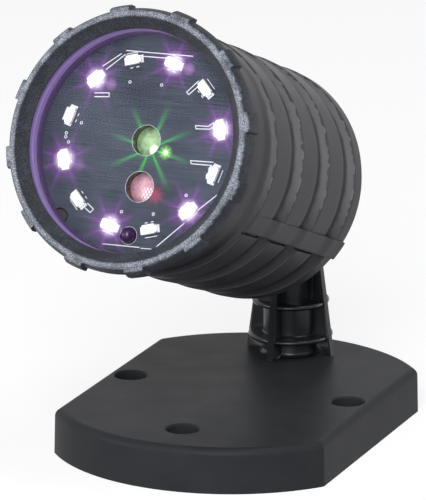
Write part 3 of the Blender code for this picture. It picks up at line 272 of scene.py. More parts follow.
def place(item: Thing, matrix: Matrix) -> Thing:
    """Moves an object by a matrix and puts the move in its mesh.

    Args:
        item: The object.
        matrix: Where it goes.

    Returns:
        The same object, at the origin.
    """
    activate(item)
    item.matrix_world = matrix
    bpy.ops.object.transform_apply(location=True, rotation=True, scale=True)
    return item


def copy_of(item: Thing, name: str) -> Thing:
    """Copies an object with a mesh of its own.

    Args:
        item: The object to copy.
        name: The copy's name.

    Returns:
        The copy.
    """
    twin = item.copy()
    twin.data = item.data.copy()
    twin.name = name
    bpy.context.scene.collection.objects.link(twin)
    return twin


def join(items: list[Thing]) -> Thing:
    """Joins objects into the first.

    Args:
        items: The objects.

    Returns:
        The first object, which holds them all.
    """
    activate(items[0])
    for item in items[1:]:
        item.select_set(True)
    if len(items) > 1:
        bpy.ops.object.join()
    return bpy.context.object


def combine(item: Thing, tool: Thing, operation: Operation) -> Thing:
    """Applies a boolean and removes its tool.

    Args:
        item: The piece that changes.
        tool: The shape that changes it.
        operation: What the tool does.

    Returns:
        The piece.
    """
    modifier = item.modifiers.new("combine", "BOOLEAN")
    modifier.object = tool
    modifier.operation = operation.value
    modifier.solver = "EXACT"
    activate(item)
    bpy.ops.object.modifier_apply(modifier=modifier.name)
    bpy.data.objects.remove(tool)
    return item


def soften(item: Thing, width: float, segments: int = 2, angle: float = 35.0) -> Thing:
    """Rounds the edges that are sharper than an angle.

    Args:
        item: The piece.
        width: The width of the rounding, in the piece's own unit.
        segments: How many facets round each edge.
        angle: The least angle of an edge that is rounded, in degrees.

    Returns:
        The piece.
    """
    activate(item)
    modifier = item.modifiers.new("soften", "BEVEL")
    modifier.width = width
    modifier.segments = segments
    modifier.limit_method = "ANGLE"
    modifier.angle_limit = math.radians(angle)
    modifier.miter_outer = "MITER_ARC"
    bpy.ops.object.modifier_apply(modifier=modifier.name)
    return item


def smooth(item: Thing, angle: float = 35.0) -> Thing:
    """Shades a piece smooth up to an angle and weighs its normals by face size.

    Args:
        item: The piece.
        angle: The least angle of an edge that stays sharp, in degrees.

    Returns:
        The piece.
    """
    activate(item)
    bpy.ops.object.shade_smooth_by_angle(angle=math.radians(angle))
    modifier = item.modifiers.new("weigh", "WEIGHTED_NORMAL")
    modifier.keep_sharp = True
    bpy.ops.object.modifier_apply(modifier=modifier.name)
    return item


def paint(item: Thing, materials: list[Material],
          rule: Callable[[Vector, Vector], int] | None = None) -> None:
    """Gives a piece its materials, face by face where a rule says.

    Args:
        item: The piece, still in its own frame.
        materials: Its finishes.
        rule: Gives a face's finish from its centre and normal, or None for the first everywhere.
    """
    item.data.materials.clear()
    for material in materials:
        item.data.materials.append(material)
    for face in item.data.polygons:
        face.material_index = rule(face.center, face.normal) if rule else 0


def hand_over(item: Thing, body: Body, slot: str, matrix: Matrix, *nodes: str) -> None:
    """Places a finished piece, hangs it on its body and hides the nodes of the frame that it stands for.

    Args:
        item: The piece, still in its own frame.
        body: The body that it moves with.
        slot: Not used.
        matrix: Where it goes.
        *nodes: The nodes of the frame that it stands for.
    """
    place(item, matrix)
    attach(item, body.value)
    if nodes:
        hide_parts(*nodes)
    log.info("%s rides on %s", item.name, body.value)


def dress(item: Thing, angle: float, materials: list[Material], body: Body, slot: str,
          matrix: Matrix, *nodes: str) -> None:
    """Smooths a piece, gives it its finish and hands it over.

    Args:
        item: The piece, still in its own frame.
        angle: The least angle of an edge that stays sharp, in degrees.
        materials: Its finishes, of which the first covers it.
        body: The body that it moves with.
        slot: Not used; it is only handed on to hand_over.
        matrix: Where it goes.
        *nodes: The nodes of the frame that it stands for.
    """
    smooth(item, angle)
    paint(item, materials)
    hand_over(item, body, slot, matrix, *nodes)


def slab(inner: float, radius: float, low: float, high: float, chamfer: float) -> list[Point2]:
    """Gives the section of a disc or ring with chamfered outer edges.

    Args:
        inner: Its inner radius, or 0 for a disc.
        radius: Its outer radius.
        low: The height of its foot.
        high: The height of its top.
        chamfer: The chamfer's width.

    Returns:
        The section, as (radius, height).
    """
    return [(inner, low), (radius - chamfer, low), (radius, low + chamfer), (radius, high - chamfer),
            (radius - chamfer, high), (inner, high)]


def arc(radius: float, start: float, end: float, steps: int, centre: Point2 = (0.0, 0.0)) -> list[Point2]:
    """Gives points along an arc, both ends included.

    Args:
        radius: The arc's radius.
        start: The angle that it starts at, in degrees.
        end: The angle that it ends at.
        steps: How many chords it has.
        centre: Its middle.

    Returns:
        The points.
    """
    turns = [math.radians(start + (end - start) * i / steps) for i in range(steps + 1)]
    return [(centre[0] + radius * math.cos(t), centre[1] + radius * math.sin(t)) for t in turns]


def arm_outline(radius: float, root_distance: float, root_half: float, steps: int = 24) -> list[Point2]:
    """Gives the outline of an arm with a round end at the origin and its root on -X.

    Args:
        radius: The round end's radius.
        root_distance: How far the root lies from the round end's middle.
        root_half: Half the root's width.
        steps: How many chords the round end has.

    Returns:
        The outline.
    """
    reach = math.hypot(root_distance, root_half)
    touch = 180 - math.degrees(math.atan2(root_half, root_distance) + math.acos(radius / reach))
    return [(-root_distance, root_half), *arc(radius, touch, -touch, steps), (-root_distance, -root_half)]


# Finishes

class Shader:
    """A material in the making, with short names for the nodes that the finishes use."""

    def __init__(self, name: str) -> None:
        """Starts a material.

        Args:
            name: The material's name.
        """
        self.material = bpy.data.materials.new(name)
        self.material.use_nodes = True
        self.tree = self.material.node_tree
        self.base = self.tree.nodes["Principled BSDF"]

    def put(self, socket: str, value: float | Colour | Socket) -> None:
        """Sets a socket of the surface to a value, or links it.

        Args:
            socket: The socket's name.
            value: A number, a colour or another node's output.
        """
        self.feed(self.base.inputs[socket], value)

    def feed(self, socket: Socket, value: object) -> None:
        """Sets or links any socket.

        Args:
            socket: The socket that takes the value.
            value: A number, a colour, a vector or another node's output.
        """
        if isinstance(value, Socket):
            self.tree.links.new(value, socket)
        elif isinstance(value, tuple) and len(value) == 3 and socket.type == "RGBA":
            socket.default_value = (*value, 1.0)
        else:
            socket.default_value = value

    def where(self, origin: Matrix | None = None, stretch: Point3 = (1.0, 1.0, 1.0)) -> Socket:
        """Gives the place on the piece, in millimetres of a frame.

        Args:
            origin: The frame, or None for the row's own.
            stretch: How long a unit is along each axis, in millimetres.

        Returns:
            The place.
        """
        coordinates = self.tree.nodes.new("ShaderNodeTexCoord")
        mapping = self.tree.nodes.new("ShaderNodeMapping")
        mapping.vector_type = "TEXTURE"
        at = origin or ROW
        self.feed(mapping.inputs["Location"], at.to_translation())
        self.feed(mapping.inputs["Rotation"], at.to_euler())
        self.feed(mapping.inputs["Scale"], Vector(stretch) * MM)
        self.feed(mapping.inputs["Vector"], coordinates.outputs["Object"])
        return mapping.outputs["Vector"]

    def noise(self, where: Socket, size: float, detail: float = 2.0,
              roughness: float = 0.5) -> Socket:
        """Gives soft patches.

        Args:
            where: The place.
            size: The size of a patch, in the place's unit.
            detail: How many finer layers lie on them.
            roughness: How strong the finer layers are.

        Returns:
            A number from 0 to 1.
        """
        node = self.tree.nodes.new("ShaderNodeTexNoise")
        self.feed(node.inputs["Vector"], where)
        self.feed(node.inputs["Scale"], 1.0 / size)
        self.feed(node.inputs["Detail"], detail)
        self.feed(node.inputs["Roughness"], roughness)
        return node.outputs["Fac"]

    def span(self, value: Socket, low: float, high: float, to_low: float = 0.0,
             to_high: float = 1.0, soft: bool = False) -> Socket:
        """Stretches a number from one range to another, held at both ends.

        Args:
            value: The number.
            low: The value that becomes to_low.
            high: The value that becomes to_high.
            to_low: The first end of the new range.
            to_high: The other end.
            soft: Whether it eases in and out.

        Returns:
            The stretched number.
        """
        node = self.tree.nodes.new("ShaderNodeMapRange")
        node.interpolation_type = "SMOOTHSTEP" if soft else "LINEAR"
        self.feed(node.inputs["Value"], value)
        for name, number in (("From Min", low), ("From Max", high), ("To Min", to_low), ("To Max", to_high)):
            self.feed(node.inputs[name], number)
        return node.outputs["Result"]

    def mix(self, share: Socket | float, first: object, second: object) -> Socket:
        """Mixes two colours.

        Args:
            share: How much of the second there is.
            first: The first colour.
            second: The second colour.

        Returns:
            The mixed colour.
        """
        node = self.tree.nodes.new("ShaderNodeMix")
        node.data_type = "RGBA"
        self.feed(node.inputs[0], share)
        self.feed(node.inputs[6], first)
        self.feed(node.inputs[7], second)
        return node.outputs[2]

    def work(self, operation: str, first: object, second: object = 0.0) -> Socket:
        """Works on one or two numbers.

        Args:
            operation: The Math node's operation.
            first: The first number.
            second: The second number.

        Returns:
            The result.
        """
        node = self.tree.nodes.new("ShaderNodeMath")
        node.operation = operation
        self.feed(node.inputs[0], first)
        self.feed(node.inputs[1], second)
        return node.outputs[0]

    def times(self, first: object, second: object) -> Socket:
        """Multiplies two numbers."""
        return self.work("MULTIPLY", first, second)

    def plus(self, first: object, second: object) -> Socket:
        """Adds two numbers."""
        return self.work("ADD", first, second)

    def distance(self, across: Socket, up: Socket) -> Socket:
        """Gives the length of a line from its two sides."""
        return self.work("SQRT", self.plus(self.times(across, across), self.times(up, up)))

    def vector(self, operation: str, first: object, second: object) -> bpy.types.Node:
        """Works on two vectors.

        Args:
            operation: The Vector Math node's operation.
            first: The first vector.
            second: The second vector.

        Returns:
            The node, with its outputs.
        """
        node = self.tree.nodes.new("ShaderNodeVectorMath")
        node.operation = operation
        self.feed(node.inputs[0], first)
        self.feed(node.inputs[1], second)
        return node

    def parts(self, vector: Socket) -> bpy.types.NodeOutputs:
        """Splits a vector into its three numbers."""
        node = self.tree.nodes.new("ShaderNodeSeparateXYZ")
        self.feed(node.inputs[0], vector)
        return node.outputs

    def bump(self, height: Socket, depth: float) -> None:
        """Presses a relief into the surface.

        Args:
            height: The relief, from 0 to 1.
            depth: How deep it is, in millimetres.
        """
        node = self.tree.nodes.new("ShaderNodeBump")
        self.feed(node.inputs["Height"], height)
        self.feed(node.inputs["Distance"], depth * MM)
        self.feed(self.base.inputs["Normal"], node.outputs["Normal"])

    def mould(self, here: Socket, cloud: Socket, finish: "MouldedPlastic | RidgedPlastic") -> None:
        """Gives a moulded plastic its uneven sheen and its grain.

        Args:
            here: The place on the piece.
            cloud: Where it is worn, from 0 to 1.
            finish: The finish with its roughness, gloss, grain and relief.
        """
        self.put("Roughness", self.span(cloud, 0.25, 0.75, finish.roughness - 0.05, finish.roughness + 0.06))
        self.put("Specular IOR Level", finish.gloss)
        self.bump(self.noise(here, finish.grain, 2.0, 0.6), finish.relief)


@dataclass(frozen=True)
class MouldedPlastic:
    """A moulded plastic with a fine grain, faint cloudiness and worn patches."""

    name: str
    colour: Colour
    lighter: Colour
    roughness: float = 0.5
    grain: float = 0.35
    relief: float = 0.012
    patch: float = 14.0
    gloss: float = 0.32

    def material(self) -> Material:
        """Makes the material."""
        shader = Shader(self.name)
        here = shader.where()
        cloud = shader.noise(here, self.patch, 3.0, 0.55)
        shader.put("Base Color", shader.mix(shader.span(cloud, 0.3, 0.75), self.colour, self.lighter))
        shader.mould(here, cloud, self)
        return shader.material


@dataclass(frozen=True)
class RidgedPlastic:
    """The housing's plastic, with a painted highlight along the front of each ridge on its lit upper side, and
    painted shade down in the grooves.
    """

    name: str
    colour: Colour
    lighter: Colour
    # The third colour is a painted highlight for the front of each ridge, and sunk is painted shade for the
    # grooves.
    painted_highlight: Colour
    sunk: Colour
    first: float
    pitch: float
    flat: float
    # rise spans the painted highlight before each ridge's front edge; the next field keeps it to the lit upper
    # side by height.
    rise: Point2 = (4.6, 1.6)
    lit_side: Point2 = (-24.0, -2.0)
    roughness: float = 0.4
    gloss: float = 0.12
    grain: float = 0.35
    relief: float = 0.012
    patch: float = 14.0

    def material(self) -> Material:
        """Makes the material."""
        shader = Shader(self.name)
        here = shader.where(HEAD)
        cloud = shader.noise(here, self.patch, 3.0, 0.55)
        parts = shader.parts(here)
        wander = shader.span(shader.noise(here, 3.0, 2.0, 0.5), 0.3, 0.7, -0.5, 0.5)
        depth = shader.work("SUBTRACT", wander, parts["Z"])
        start = self.first - 4 * self.pitch
        along = shader.work("MODULO", shader.work("SUBTRACT", depth, start), self.pitch)
        # Masks of the painted highlight before each ridge's front edge and of the painted shade in the grooves.
        front = shader.span(along, self.pitch - self.rise[0], self.pitch - self.rise[1], soft=True)
        groove = shader.work("SUBTRACT", shader.span(along, self.flat - 0.6, self.flat + 2.4, soft=True), front)
        # Keeps the painted highlight to the lit upper side.
        upper = shader.span(parts["Y"], *self.lit_side, soft=True)
        plain = shader.mix(shader.span(cloud, 0.3, 0.75), self.colour, self.lighter)
        # Painted shade in the grooves, then the painted highlight on the lit upper side.
        groove_shaded = shader.mix(shader.work("MAXIMUM", groove, 0.0), plain, self.sunk)
        shader.put("Base Color", shader.mix(shader.times(front, upper), groove_shaded, self.painted_highlight))
        shader.mould(here, cloud, self)
        return shader.material


@dataclass(frozen=True)
class SpeckledPlastic:
    """A coarse spark-eroded texture with pale specks, and a painted highlight along the ring's crest."""

    name: str
    dark: Colour
    pale: Colour
    # The crest colours are the speckles of a painted highlight; crest_rise and crest_inner bound it by height and
    # radius.
    crest_highlight_dark: Colour
    crest_highlight_pale: Colour
    crest_rise: Point2
    crest_inner: Point2
    speck: float = 0.42
    share: float = 0.5
    roughness: float = 0.5
    relief: float = 0.05
    gloss: float = 0.16

    def material(self) -> Material:
        """Makes the material."""
        shader = Shader(self.name)
        here = shader.where(HEAD)
        specks = shader.noise(here, self.speck, 1.0, 0.7)
        cloud = shader.noise(here, 5.0, 2.0, 0.5)
        level = shader.plus(specks, shader.span(cloud, 0.3, 0.7, -0.08, 0.08))
        share = shader.span(level, self.share - 0.12, self.share + 0.12)
        parts = shader.parts(here)
        radius = shader.distance(parts["X"], parts["Y"])
        patchy = shader.span(shader.noise(here, 2.4, 3.0, 0.6), 0.3, 0.7, -0.35, 0.35)
        height = shader.plus(parts["Z"], patchy)
        # Mask of the painted highlight along the crest.
        crest = shader.times(shader.span(height, *self.crest_rise, soft=True),
                              shader.span(radius, *self.crest_inner, soft=True))
        plain = shader.mix(share, self.dark, self.pale)
        painted_highlight = shader.mix(share, self.crest_highlight_dark, self.crest_highlight_pale)
        shader.put("Base Color", shader.mix(crest, plain, painted_highlight))
        shader.put("Roughness", self.roughness)
        shader.put("Specular IOR Level", self.gloss)
        shader.bump(specks, self.relief)
        return shader.material


@dataclass(frozen=True)
class Metal:
    """A plated, cast or turned metal with fine scratches."""

    name: str
    colour: Colour
    roughness: float = 0.3

    def material(self) -> Material:
        """Makes the material."""
        shader = Shader(self.name)
        here = shader.where(stretch=(0.15, 0.15, 3.0))
        scratch = shader.noise(here, 1.0, 3.0, 0.6)
        darker = tuple(0.8 * c for c in self.colour)
        shader.put("Base Color", shader.mix(shader.span(scratch, 0.3, 0.7), darker, self.colour))
        shader.put("Metallic", 1.0)
        shader.put("Roughness", shader.span(scratch, 0.3, 0.7, self.roughness - 0.08, self.roughness + 0.1))
        shader.bump(scratch, 0.01)
        return shader.material


@dataclass(frozen=True)
class Rubber:
    """A soft matt rubber with a powdery bloom."""

    name: str
    colour: Colour
    bloom: Colour

    def material(self) -> Material:
        """Makes the material."""
        shader = Shader(self.name)
        here = shader.where()
        bloom = shader.noise(here, 4.0, 4.0, 0.6)
        shader.put("Base Color", shader.mix(shader.span(bloom, 0.45, 0.8), self.colour, self.bloom))
        shader.put("Roughness", 0.72)
        shader.bump(shader.noise(here, 0.5), 0.015)
        return shader.material


@dataclass(frozen=True)
class ClearWindow:
    """A clear sheet: it mirrors a little by Fresnel's law and lets the rest through."""

    name: str
    index: float = 1.18
    roughness: float = 0.03

    def material(self) -> Material:
        """Makes the material."""
        shader = Shader(self.name)
        fresnel = shader.tree.nodes.new("ShaderNodeFresnel")
        shader.feed(fresnel.inputs["IOR"], self.index)
        smear = shader.noise(shader.where(HEAD), 9.0, 3.0, 0.6)
        shader.put("Base Color", (0.92, 0.94, 1.0))
        shader.put("Metallic", 1.0)
        shader.put("Roughness", self.roughness)
        shader.put("Alpha", shader.times(fresnel.outputs["Fac"], shader.span(smear, 0.3, 0.7, 0.6, 0.9)))
        return shader.material


@dataclass(frozen=True)
class Glow:
    """A surface that gives light, brighter in its middle."""

    name: str
    colour: Colour
    light: Colour
    strength: float

    def material(self) -> Material:
        """Makes the material."""
        shader = Shader(self.name)
        here = shader.where(HEAD)
        flicker = shader.noise(here, 0.8, 1.0, 0.5)
        shader.put("Base Color", self.colour)
        shader.put("Roughness", 0.3)
        shader.put("Emission Color", self.light)
        shader.put("Emission Strength",
                   shader.span(flicker, 0.2, 0.8, 0.85 * self.strength, 1.1 * self.strength))
        return shader.material


@dataclass(frozen=True)
class Halo:
    """Light that falls on the board round a source: a soft pool, with eight faint rays."""

    centre: Point2
    light: Colour
    pool: float
    reach: float
    strength: float
    rays: float = 0.0
    phase: float = 30.0
    sharpness: float = 24.0
    fall: float = 4.0
    slant: float = 0.87

    def add_to(self, shader: Shader, here: Socket, so_far: Socket | Colour
               ) -> Socket:
        """Adds this light to a colour.

        Args:
            shader: The board's shader.
            here: The place on the board.
            so_far: The light there without this one.

        Returns:
            The light with this one.
        """
        parts = shader.parts(shader.vector("SUBTRACT", here, Vector((*self.centre, 0.0))).outputs[0])
        across, up = parts["X"], parts["Y"]
        distance = shader.distance(across, up)
        pool = shader.work("POWER", shader.span(distance, 0.0, self.pool, 1.0, 0.0), self.fall)
        level = shader.times(pool, self.strength)
        if self.rays:
            slanted = shader.times(across, self.slant)
            angle = shader.work("SUBTRACT", shader.work("ARCTAN2", up, slanted), math.radians(self.phase))
            wave = shader.work("ABSOLUTE", shader.work("COSINE", shader.times(angle, 4.0)))
            beam = shader.work("POWER", wave, self.sharpness)
            fade = shader.work("POWER", shader.span(distance, 0.0, self.reach, 1.0, 0.0), 1.6)
            level = shader.plus(level, shader.times(shader.times(beam, fade),
                                                              self.rays))
        scaled = shader.tree.nodes.new("ShaderNodeVectorMath")
        scaled.operation = "SCALE"
        shader.feed(scaled.inputs[0], self.light)
        shader.feed(scaled.inputs["Scale"], level)
        return shader.vector("ADD", scaled.outputs[0], so_far).outputs[0]


@dataclass(frozen=True)
class BoardLacquer:
    """The board's dark lacquer, with fine level brush marks and the light that falls on it."""

    name: str
    colour: Colour
    lighter: Colour
    halos: tuple[Halo, ...] = ()
    gloss: float = 0.12

    def material(self) -> Material:
        """Makes the material."""
        shader = Shader(self.name)
        here = shader.where(HEAD)
        marks = shader.noise(shader.where(HEAD, (16.0, 0.32, 1.0)), 1.0, 2.0, 0.6)
        cloud = shader.noise(here, 22.0, 2.0, 0.5)
        tone = shader.plus(shader.span(marks, 0.3, 0.7, -0.45, 0.45), shader.span(cloud, 0.3, 0.7, 0.2, 0.8))
        shader.put("Base Color", shader.mix(tone, self.colour, self.lighter))
        shader.put("Roughness", shader.span(marks, 0.3, 0.7, 0.32, 0.48))
        shader.put("Specular IOR Level", self.gloss)
        shader.bump(marks, 0.01)
        if self.halos:
            light = (0.0, 0.0, 0.0)
            for halo in self.halos:
                light = halo.add_to(shader, here, light)
            shader.put("Emission Color", light)
            shader.put("Emission Strength", 1.0)
        return shader.material


@dataclass(frozen=True)
class LaserWindow:
    """A laser's clear tinted window, with a fine lattice, and a painted glowing spot with a painted glow spread
    round it.
    """

    name: str
    centre: Point2
    rim: Colour
    middle: Colour
    spot: Point2
    spot_radius: float
    spot_light: Colour
    lattice: float = 0.0

    def material(self) -> Material:
        """Makes the material."""
        shader = Shader(self.name)
        here = shader.where(HEAD)
        centred = shader.vector("SUBTRACT", here, Vector((*self.centre, 0.0))).outputs[0]
        parts = shader.parts(centred)
        radius = shader.distance(parts["X"], parts["Y"])
        fleck = shader.noise(here, 2.2, 3.0, 0.6)
        tone = shader.plus(shader.span(radius, 0.5, 5.2, 0.0, 0.9), shader.span(fleck, 0.35, 0.65, -0.3, 0.3))
        shader.put("Base Color", shader.mix(tone, self.middle, self.rim))
        shader.put("Roughness", 0.18)
        offset = shader.parts(shader.vector("SUBTRACT", centred, Vector((*self.spot, 0.0))).outputs[0])
        distance = shader.distance(offset["X"], offset["Y"])
        spot = shader.span(distance, self.spot_radius * 0.6, self.spot_radius * 1.25, 1.0, 0.0, soft=True)
        if self.lattice:
            cells = []
            for first, second in ((1.0, 0.62), (1.0, -0.62)):
                along = shader.plus(shader.times(parts["X"], first / self.lattice),
                                      shader.times(parts["Y"], second / self.lattice))
                cells.append(shader.work("ABSOLUTE", shader.work("COSINE", shader.times(along,
                                                                                             math.pi))))
            dots = shader.work("POWER", shader.times(cells[0], cells[1]), 1.5)
            spot = shader.times(spot, dots)
        # Painted light: a glow spread round the spot, fading outwards.
        glow_falloff = shader.span(distance, 0.0, 7.0, 0.16, 0.02)
        glow = shader.mix(spot, (0.0, 0.0, 0.0), self.spot_light)
        spread_glow = shader.mix(glow_falloff, (0.0, 0.0, 0.0), self.middle)
        shader.put("Emission Color", shader.vector("ADD", glow, spread_glow).outputs[0])
        shader.put("Emission Strength", 1.0)
        return shader.material


# The base and the neck

@dataclass
class BasePlate:
    """The moulded plate with its rounded top edge, stepped screw holes and the ribs underneath."""

    half_width: float = 48.5
    arc_radius: float = 61.6
    arc_shift: float = 6.85
    corner_radius: float = 3.0
    height: float = 15.4
    draft: float = 0.3
    edge_radius: float = 2.5
    wall: float = 2.8
    deck: float = 3.0
    rib: float = 1.8
    rib_pitch: Point2 = (15.5, 16.5)
    rib_recess: float = 0.8
    pad_radius: float = 6.0
    holes: tuple[Point2, ...] = ((-39.8, 0.0), (39.8, 0.0), (0.0, -49.0))
    hole_radius: float = 5.5
    screw_radius: float = 3.25
    seat: float = 4.5
    boss_radius: float = 8.2
    chamfer: float = 0.5
    neck_y: float = 48.0
    socket_radius: float = 8.8
    socket_floor: float = 7.5
    socket_boss: float = 12.0
    screw_clearance: float = 2.1
    far_below: float = -30.0
    hole_steps: int = 64
    recess_radius: float = 5.0
    recess_depth: float = 5.0

    def outline(self, offset: float, arc_steps: int = 48, corner_steps: int = 8) -> list[Point2]:
        """Gives the plate's outline, moved out by an offset.

        Args:
            offset: How far it is moved out.
            arc_steps: How many chords each long arc has.
            corner_steps: How many chords each corner has.

        Returns:
            The outline.
        """
        inner = self.arc_radius - self.corner_radius
        corner_x = self.half_width - self.corner_radius
        corner_y = self.arc_shift + math.sqrt(inner ** 2 - corner_x ** 2)
        lean = math.degrees(math.atan2(corner_y - self.arc_shift, corner_x))
        quarter = arc(self.corner_radius + offset, 0, lean, corner_steps, (corner_x, corner_y))[:-1]
        long_arc = arc(self.arc_radius + offset, lean, 180 - lean, arc_steps, (0.0, self.arc_shift))
        back = quarter + long_arc + [(-x, y) for x, y in reversed(quarter)]
        return back + [(-x, -y) for x, y in back]

    def shell(self) -> Thing:
        """Makes the plate's outside, with its draft and its rounded top edge."""
        item = raise_outline("base_plate_dressed", self.outline(self.draft), 0.0, self.height)
        select_faces(item, lambda face: face.normal.z > 0.9)
        wide, long = self.half_width + self.draft, self.arc_shift + self.arc_radius + self.draft
        bpy.ops.transform.resize(value=(1 - self.draft / wide, 1 - self.draft / long, 1.0))
        bpy.ops.mesh.region_to_loop()
        bpy.ops.mesh.bevel(offset=self.edge_radius, segments=6, affect="EDGES")
        close()
        return item

    def hollow(self) -> Thing:
        """Makes the space under the deck, between the ribs and round the bosses."""
        item = raise_outline("hollow", self.outline(-self.wall), -1.0, self.height - self.deck)
        reach = 2 * self.arc_radius
        extent = (self.half_width, self.arc_shift + self.arc_radius)
        for axis in (0, 1):
            count = int((extent[axis] - self.wall) // self.rib_pitch[axis])
            bars = []
            for i in range(-count, count + 1):
                low, high = [-reach, -reach, self.rib_recess], [reach, reach, self.height]
                low[axis] = i * self.rib_pitch[axis] - self.rib / 2
                high[axis] = i * self.rib_pitch[axis] + self.rib / 2
                bars.append(block("rib", tuple(low), tuple(high)))
            combine(item, join(bars), Operation.CUT)
        bosses = [rod("boss", self.boss_radius, self.far_below, self.height, spot) for spot in self.holes]
        bosses.append(rod("pad", self.pad_radius, self.far_below, self.height))
        bosses.append(rod("socket", self.socket_boss, self.far_below, self.height, (0.0, self.neck_y)))
        return combine(item, join(bosses), Operation.CUT)

    def cutter(self) -> Thing:
        """Makes the stepped screw holes and the neck's socket."""
        above = self.height + 1.0
        edge = self.height - self.chamfer
        stepped = [(0, -1.0), (self.screw_radius, -1.0), (self.screw_radius, self.seat),
                   (self.hole_radius, self.seat), (self.hole_radius, edge),
                   (self.hole_radius + self.chamfer + 1.0, above), (0, above)]
        tools = []
        for x, y in self.holes:
            tools.append(place(lathe("hole", stepped, self.hole_steps), shift(x, y)))
        socket = [(0, -1.0), (self.recess_radius, -1.0), (self.recess_radius, self.recess_depth),
                  (self.screw_clearance, self.recess_depth), (self.screw_clearance, self.socket_floor),
                  (self.socket_radius, self.socket_floor), (self.socket_radius, above), (0, above)]
        tools.append(place(lathe("socket", socket, self.hole_steps), shift(y=self.neck_y)))
        return join(tools)

    def build(self, material: Material) -> None:
        """Models the plate and dresses it.

        Args:
            material: Its plastic.
        """
        item = self.shell()
        combine(item, self.hollow(), Operation.CUT)
        combine(item, self.cutter(), Operation.CUT)
        dress(item, 30, [material], Body.BASE, "base_plastic", ROW, "base_plate")


@dataclass
class NeckPost:
    """The neck: a round core with two rings, four tapering ribs and a squared upper part."""

    seat: float = 15.7
    height: float = 40.0
    core: float = 9.6
    rib_foot: float = 16.3
    rib_taper: float = 0.14
    rib: float = 2.5
    rings: tuple[tuple[float, float], ...] = ((6.2, 14.7), (18.4, 13.4))
    ring: float = 2.0
    box: Point2 = (15.4, 18.8)
    bearing_radius: float = 12.2
    bearing: float = 3.0
    spigot_radius: float = 8.5
    spigot: float = 7.9

    def core_profile(self) -> list[Point2]:
        """Gives the core's section with its rings, from the spigot's foot to the bearing face."""
        points = [(0.0, -self.spigot), (self.spigot_radius - 0.4, -self.spigot),
                  (self.spigot_radius, -self.spigot + 0.4), (self.spigot_radius, 0.0), (self.core + 1.4, 0.0),
                  (self.core + 0.4, 0.5), (self.core, 1.4)]
        for middle, radius in self.rings:
            half = self.ring / 2
            points += [(self.core, middle - half - 0.4), (self.core + 0.4, middle - half)]
            points += arc(half * 0.9, -80, 80, 6, (radius - half * 0.9, middle))
            points += [(self.core + 0.4, middle + half), (self.core, middle + half + 0.4)]
        low = self.height - self.bearing
        inner = self.box[0] / 2 - 0.4
        points[-1] = (inner, points[-2][1])
        points += [(inner, low), (self.bearing_radius - 0.7, low), (self.bearing_radius, low + 0.7),
                   (self.bearing_radius, self.height - 0.4), (self.bearing_radius - 0.4, self.height),
                   (0.0, self.height)]
        return points

    def build(self, material: Material) -> None:
        """Models the neck and dresses it.

        Args:
            material: Its plastic.
        """
        item = lathe("neck_post_dressed", self.core_profile(), 96)
        low = self.height - self.bearing
        x, y = self.box[0] / 2, self.box[1] / 2
        upper = block("upper", (-x, -y, self.rings[1][0]), (x, y, low + 0.7))
        edit()
        mesh = bmesh.from_edit_mesh(upper.data)
        for edge in mesh.edges:
            edge.select_set(abs(edge.verts[0].co.z - edge.verts[1].co.z) > 1)
        bmesh.update_edit_mesh(upper.data)
        bpy.ops.mesh.bevel(offset=1.0, segments=4, affect="EDGES")
        close()
        combine(item, upper, Operation.ADD)
        top = low + 0.9
        side = [(self.rib_foot, 0.0), (self.rib_foot - self.rib_taper * top, top)]
        outline = side + [(-a, z) for a, z in reversed(side)]
        for angle in (0, 90):
            rib = raise_outline("rib", outline, -self.rib / 2, self.rib / 2)
            place(rib, turn(angle, "Z") @ turn(90, "X"))
            combine(item, rib, Operation.ADD)
        soften(item, 0.25, 2, 40)
        at = NECK @ turn(PAN, "Z") @ shift(z=self.seat)
        dress(item, 40, [material], Body.BASE, "base_plastic", at, "neck_post")


# The fork and the hinge

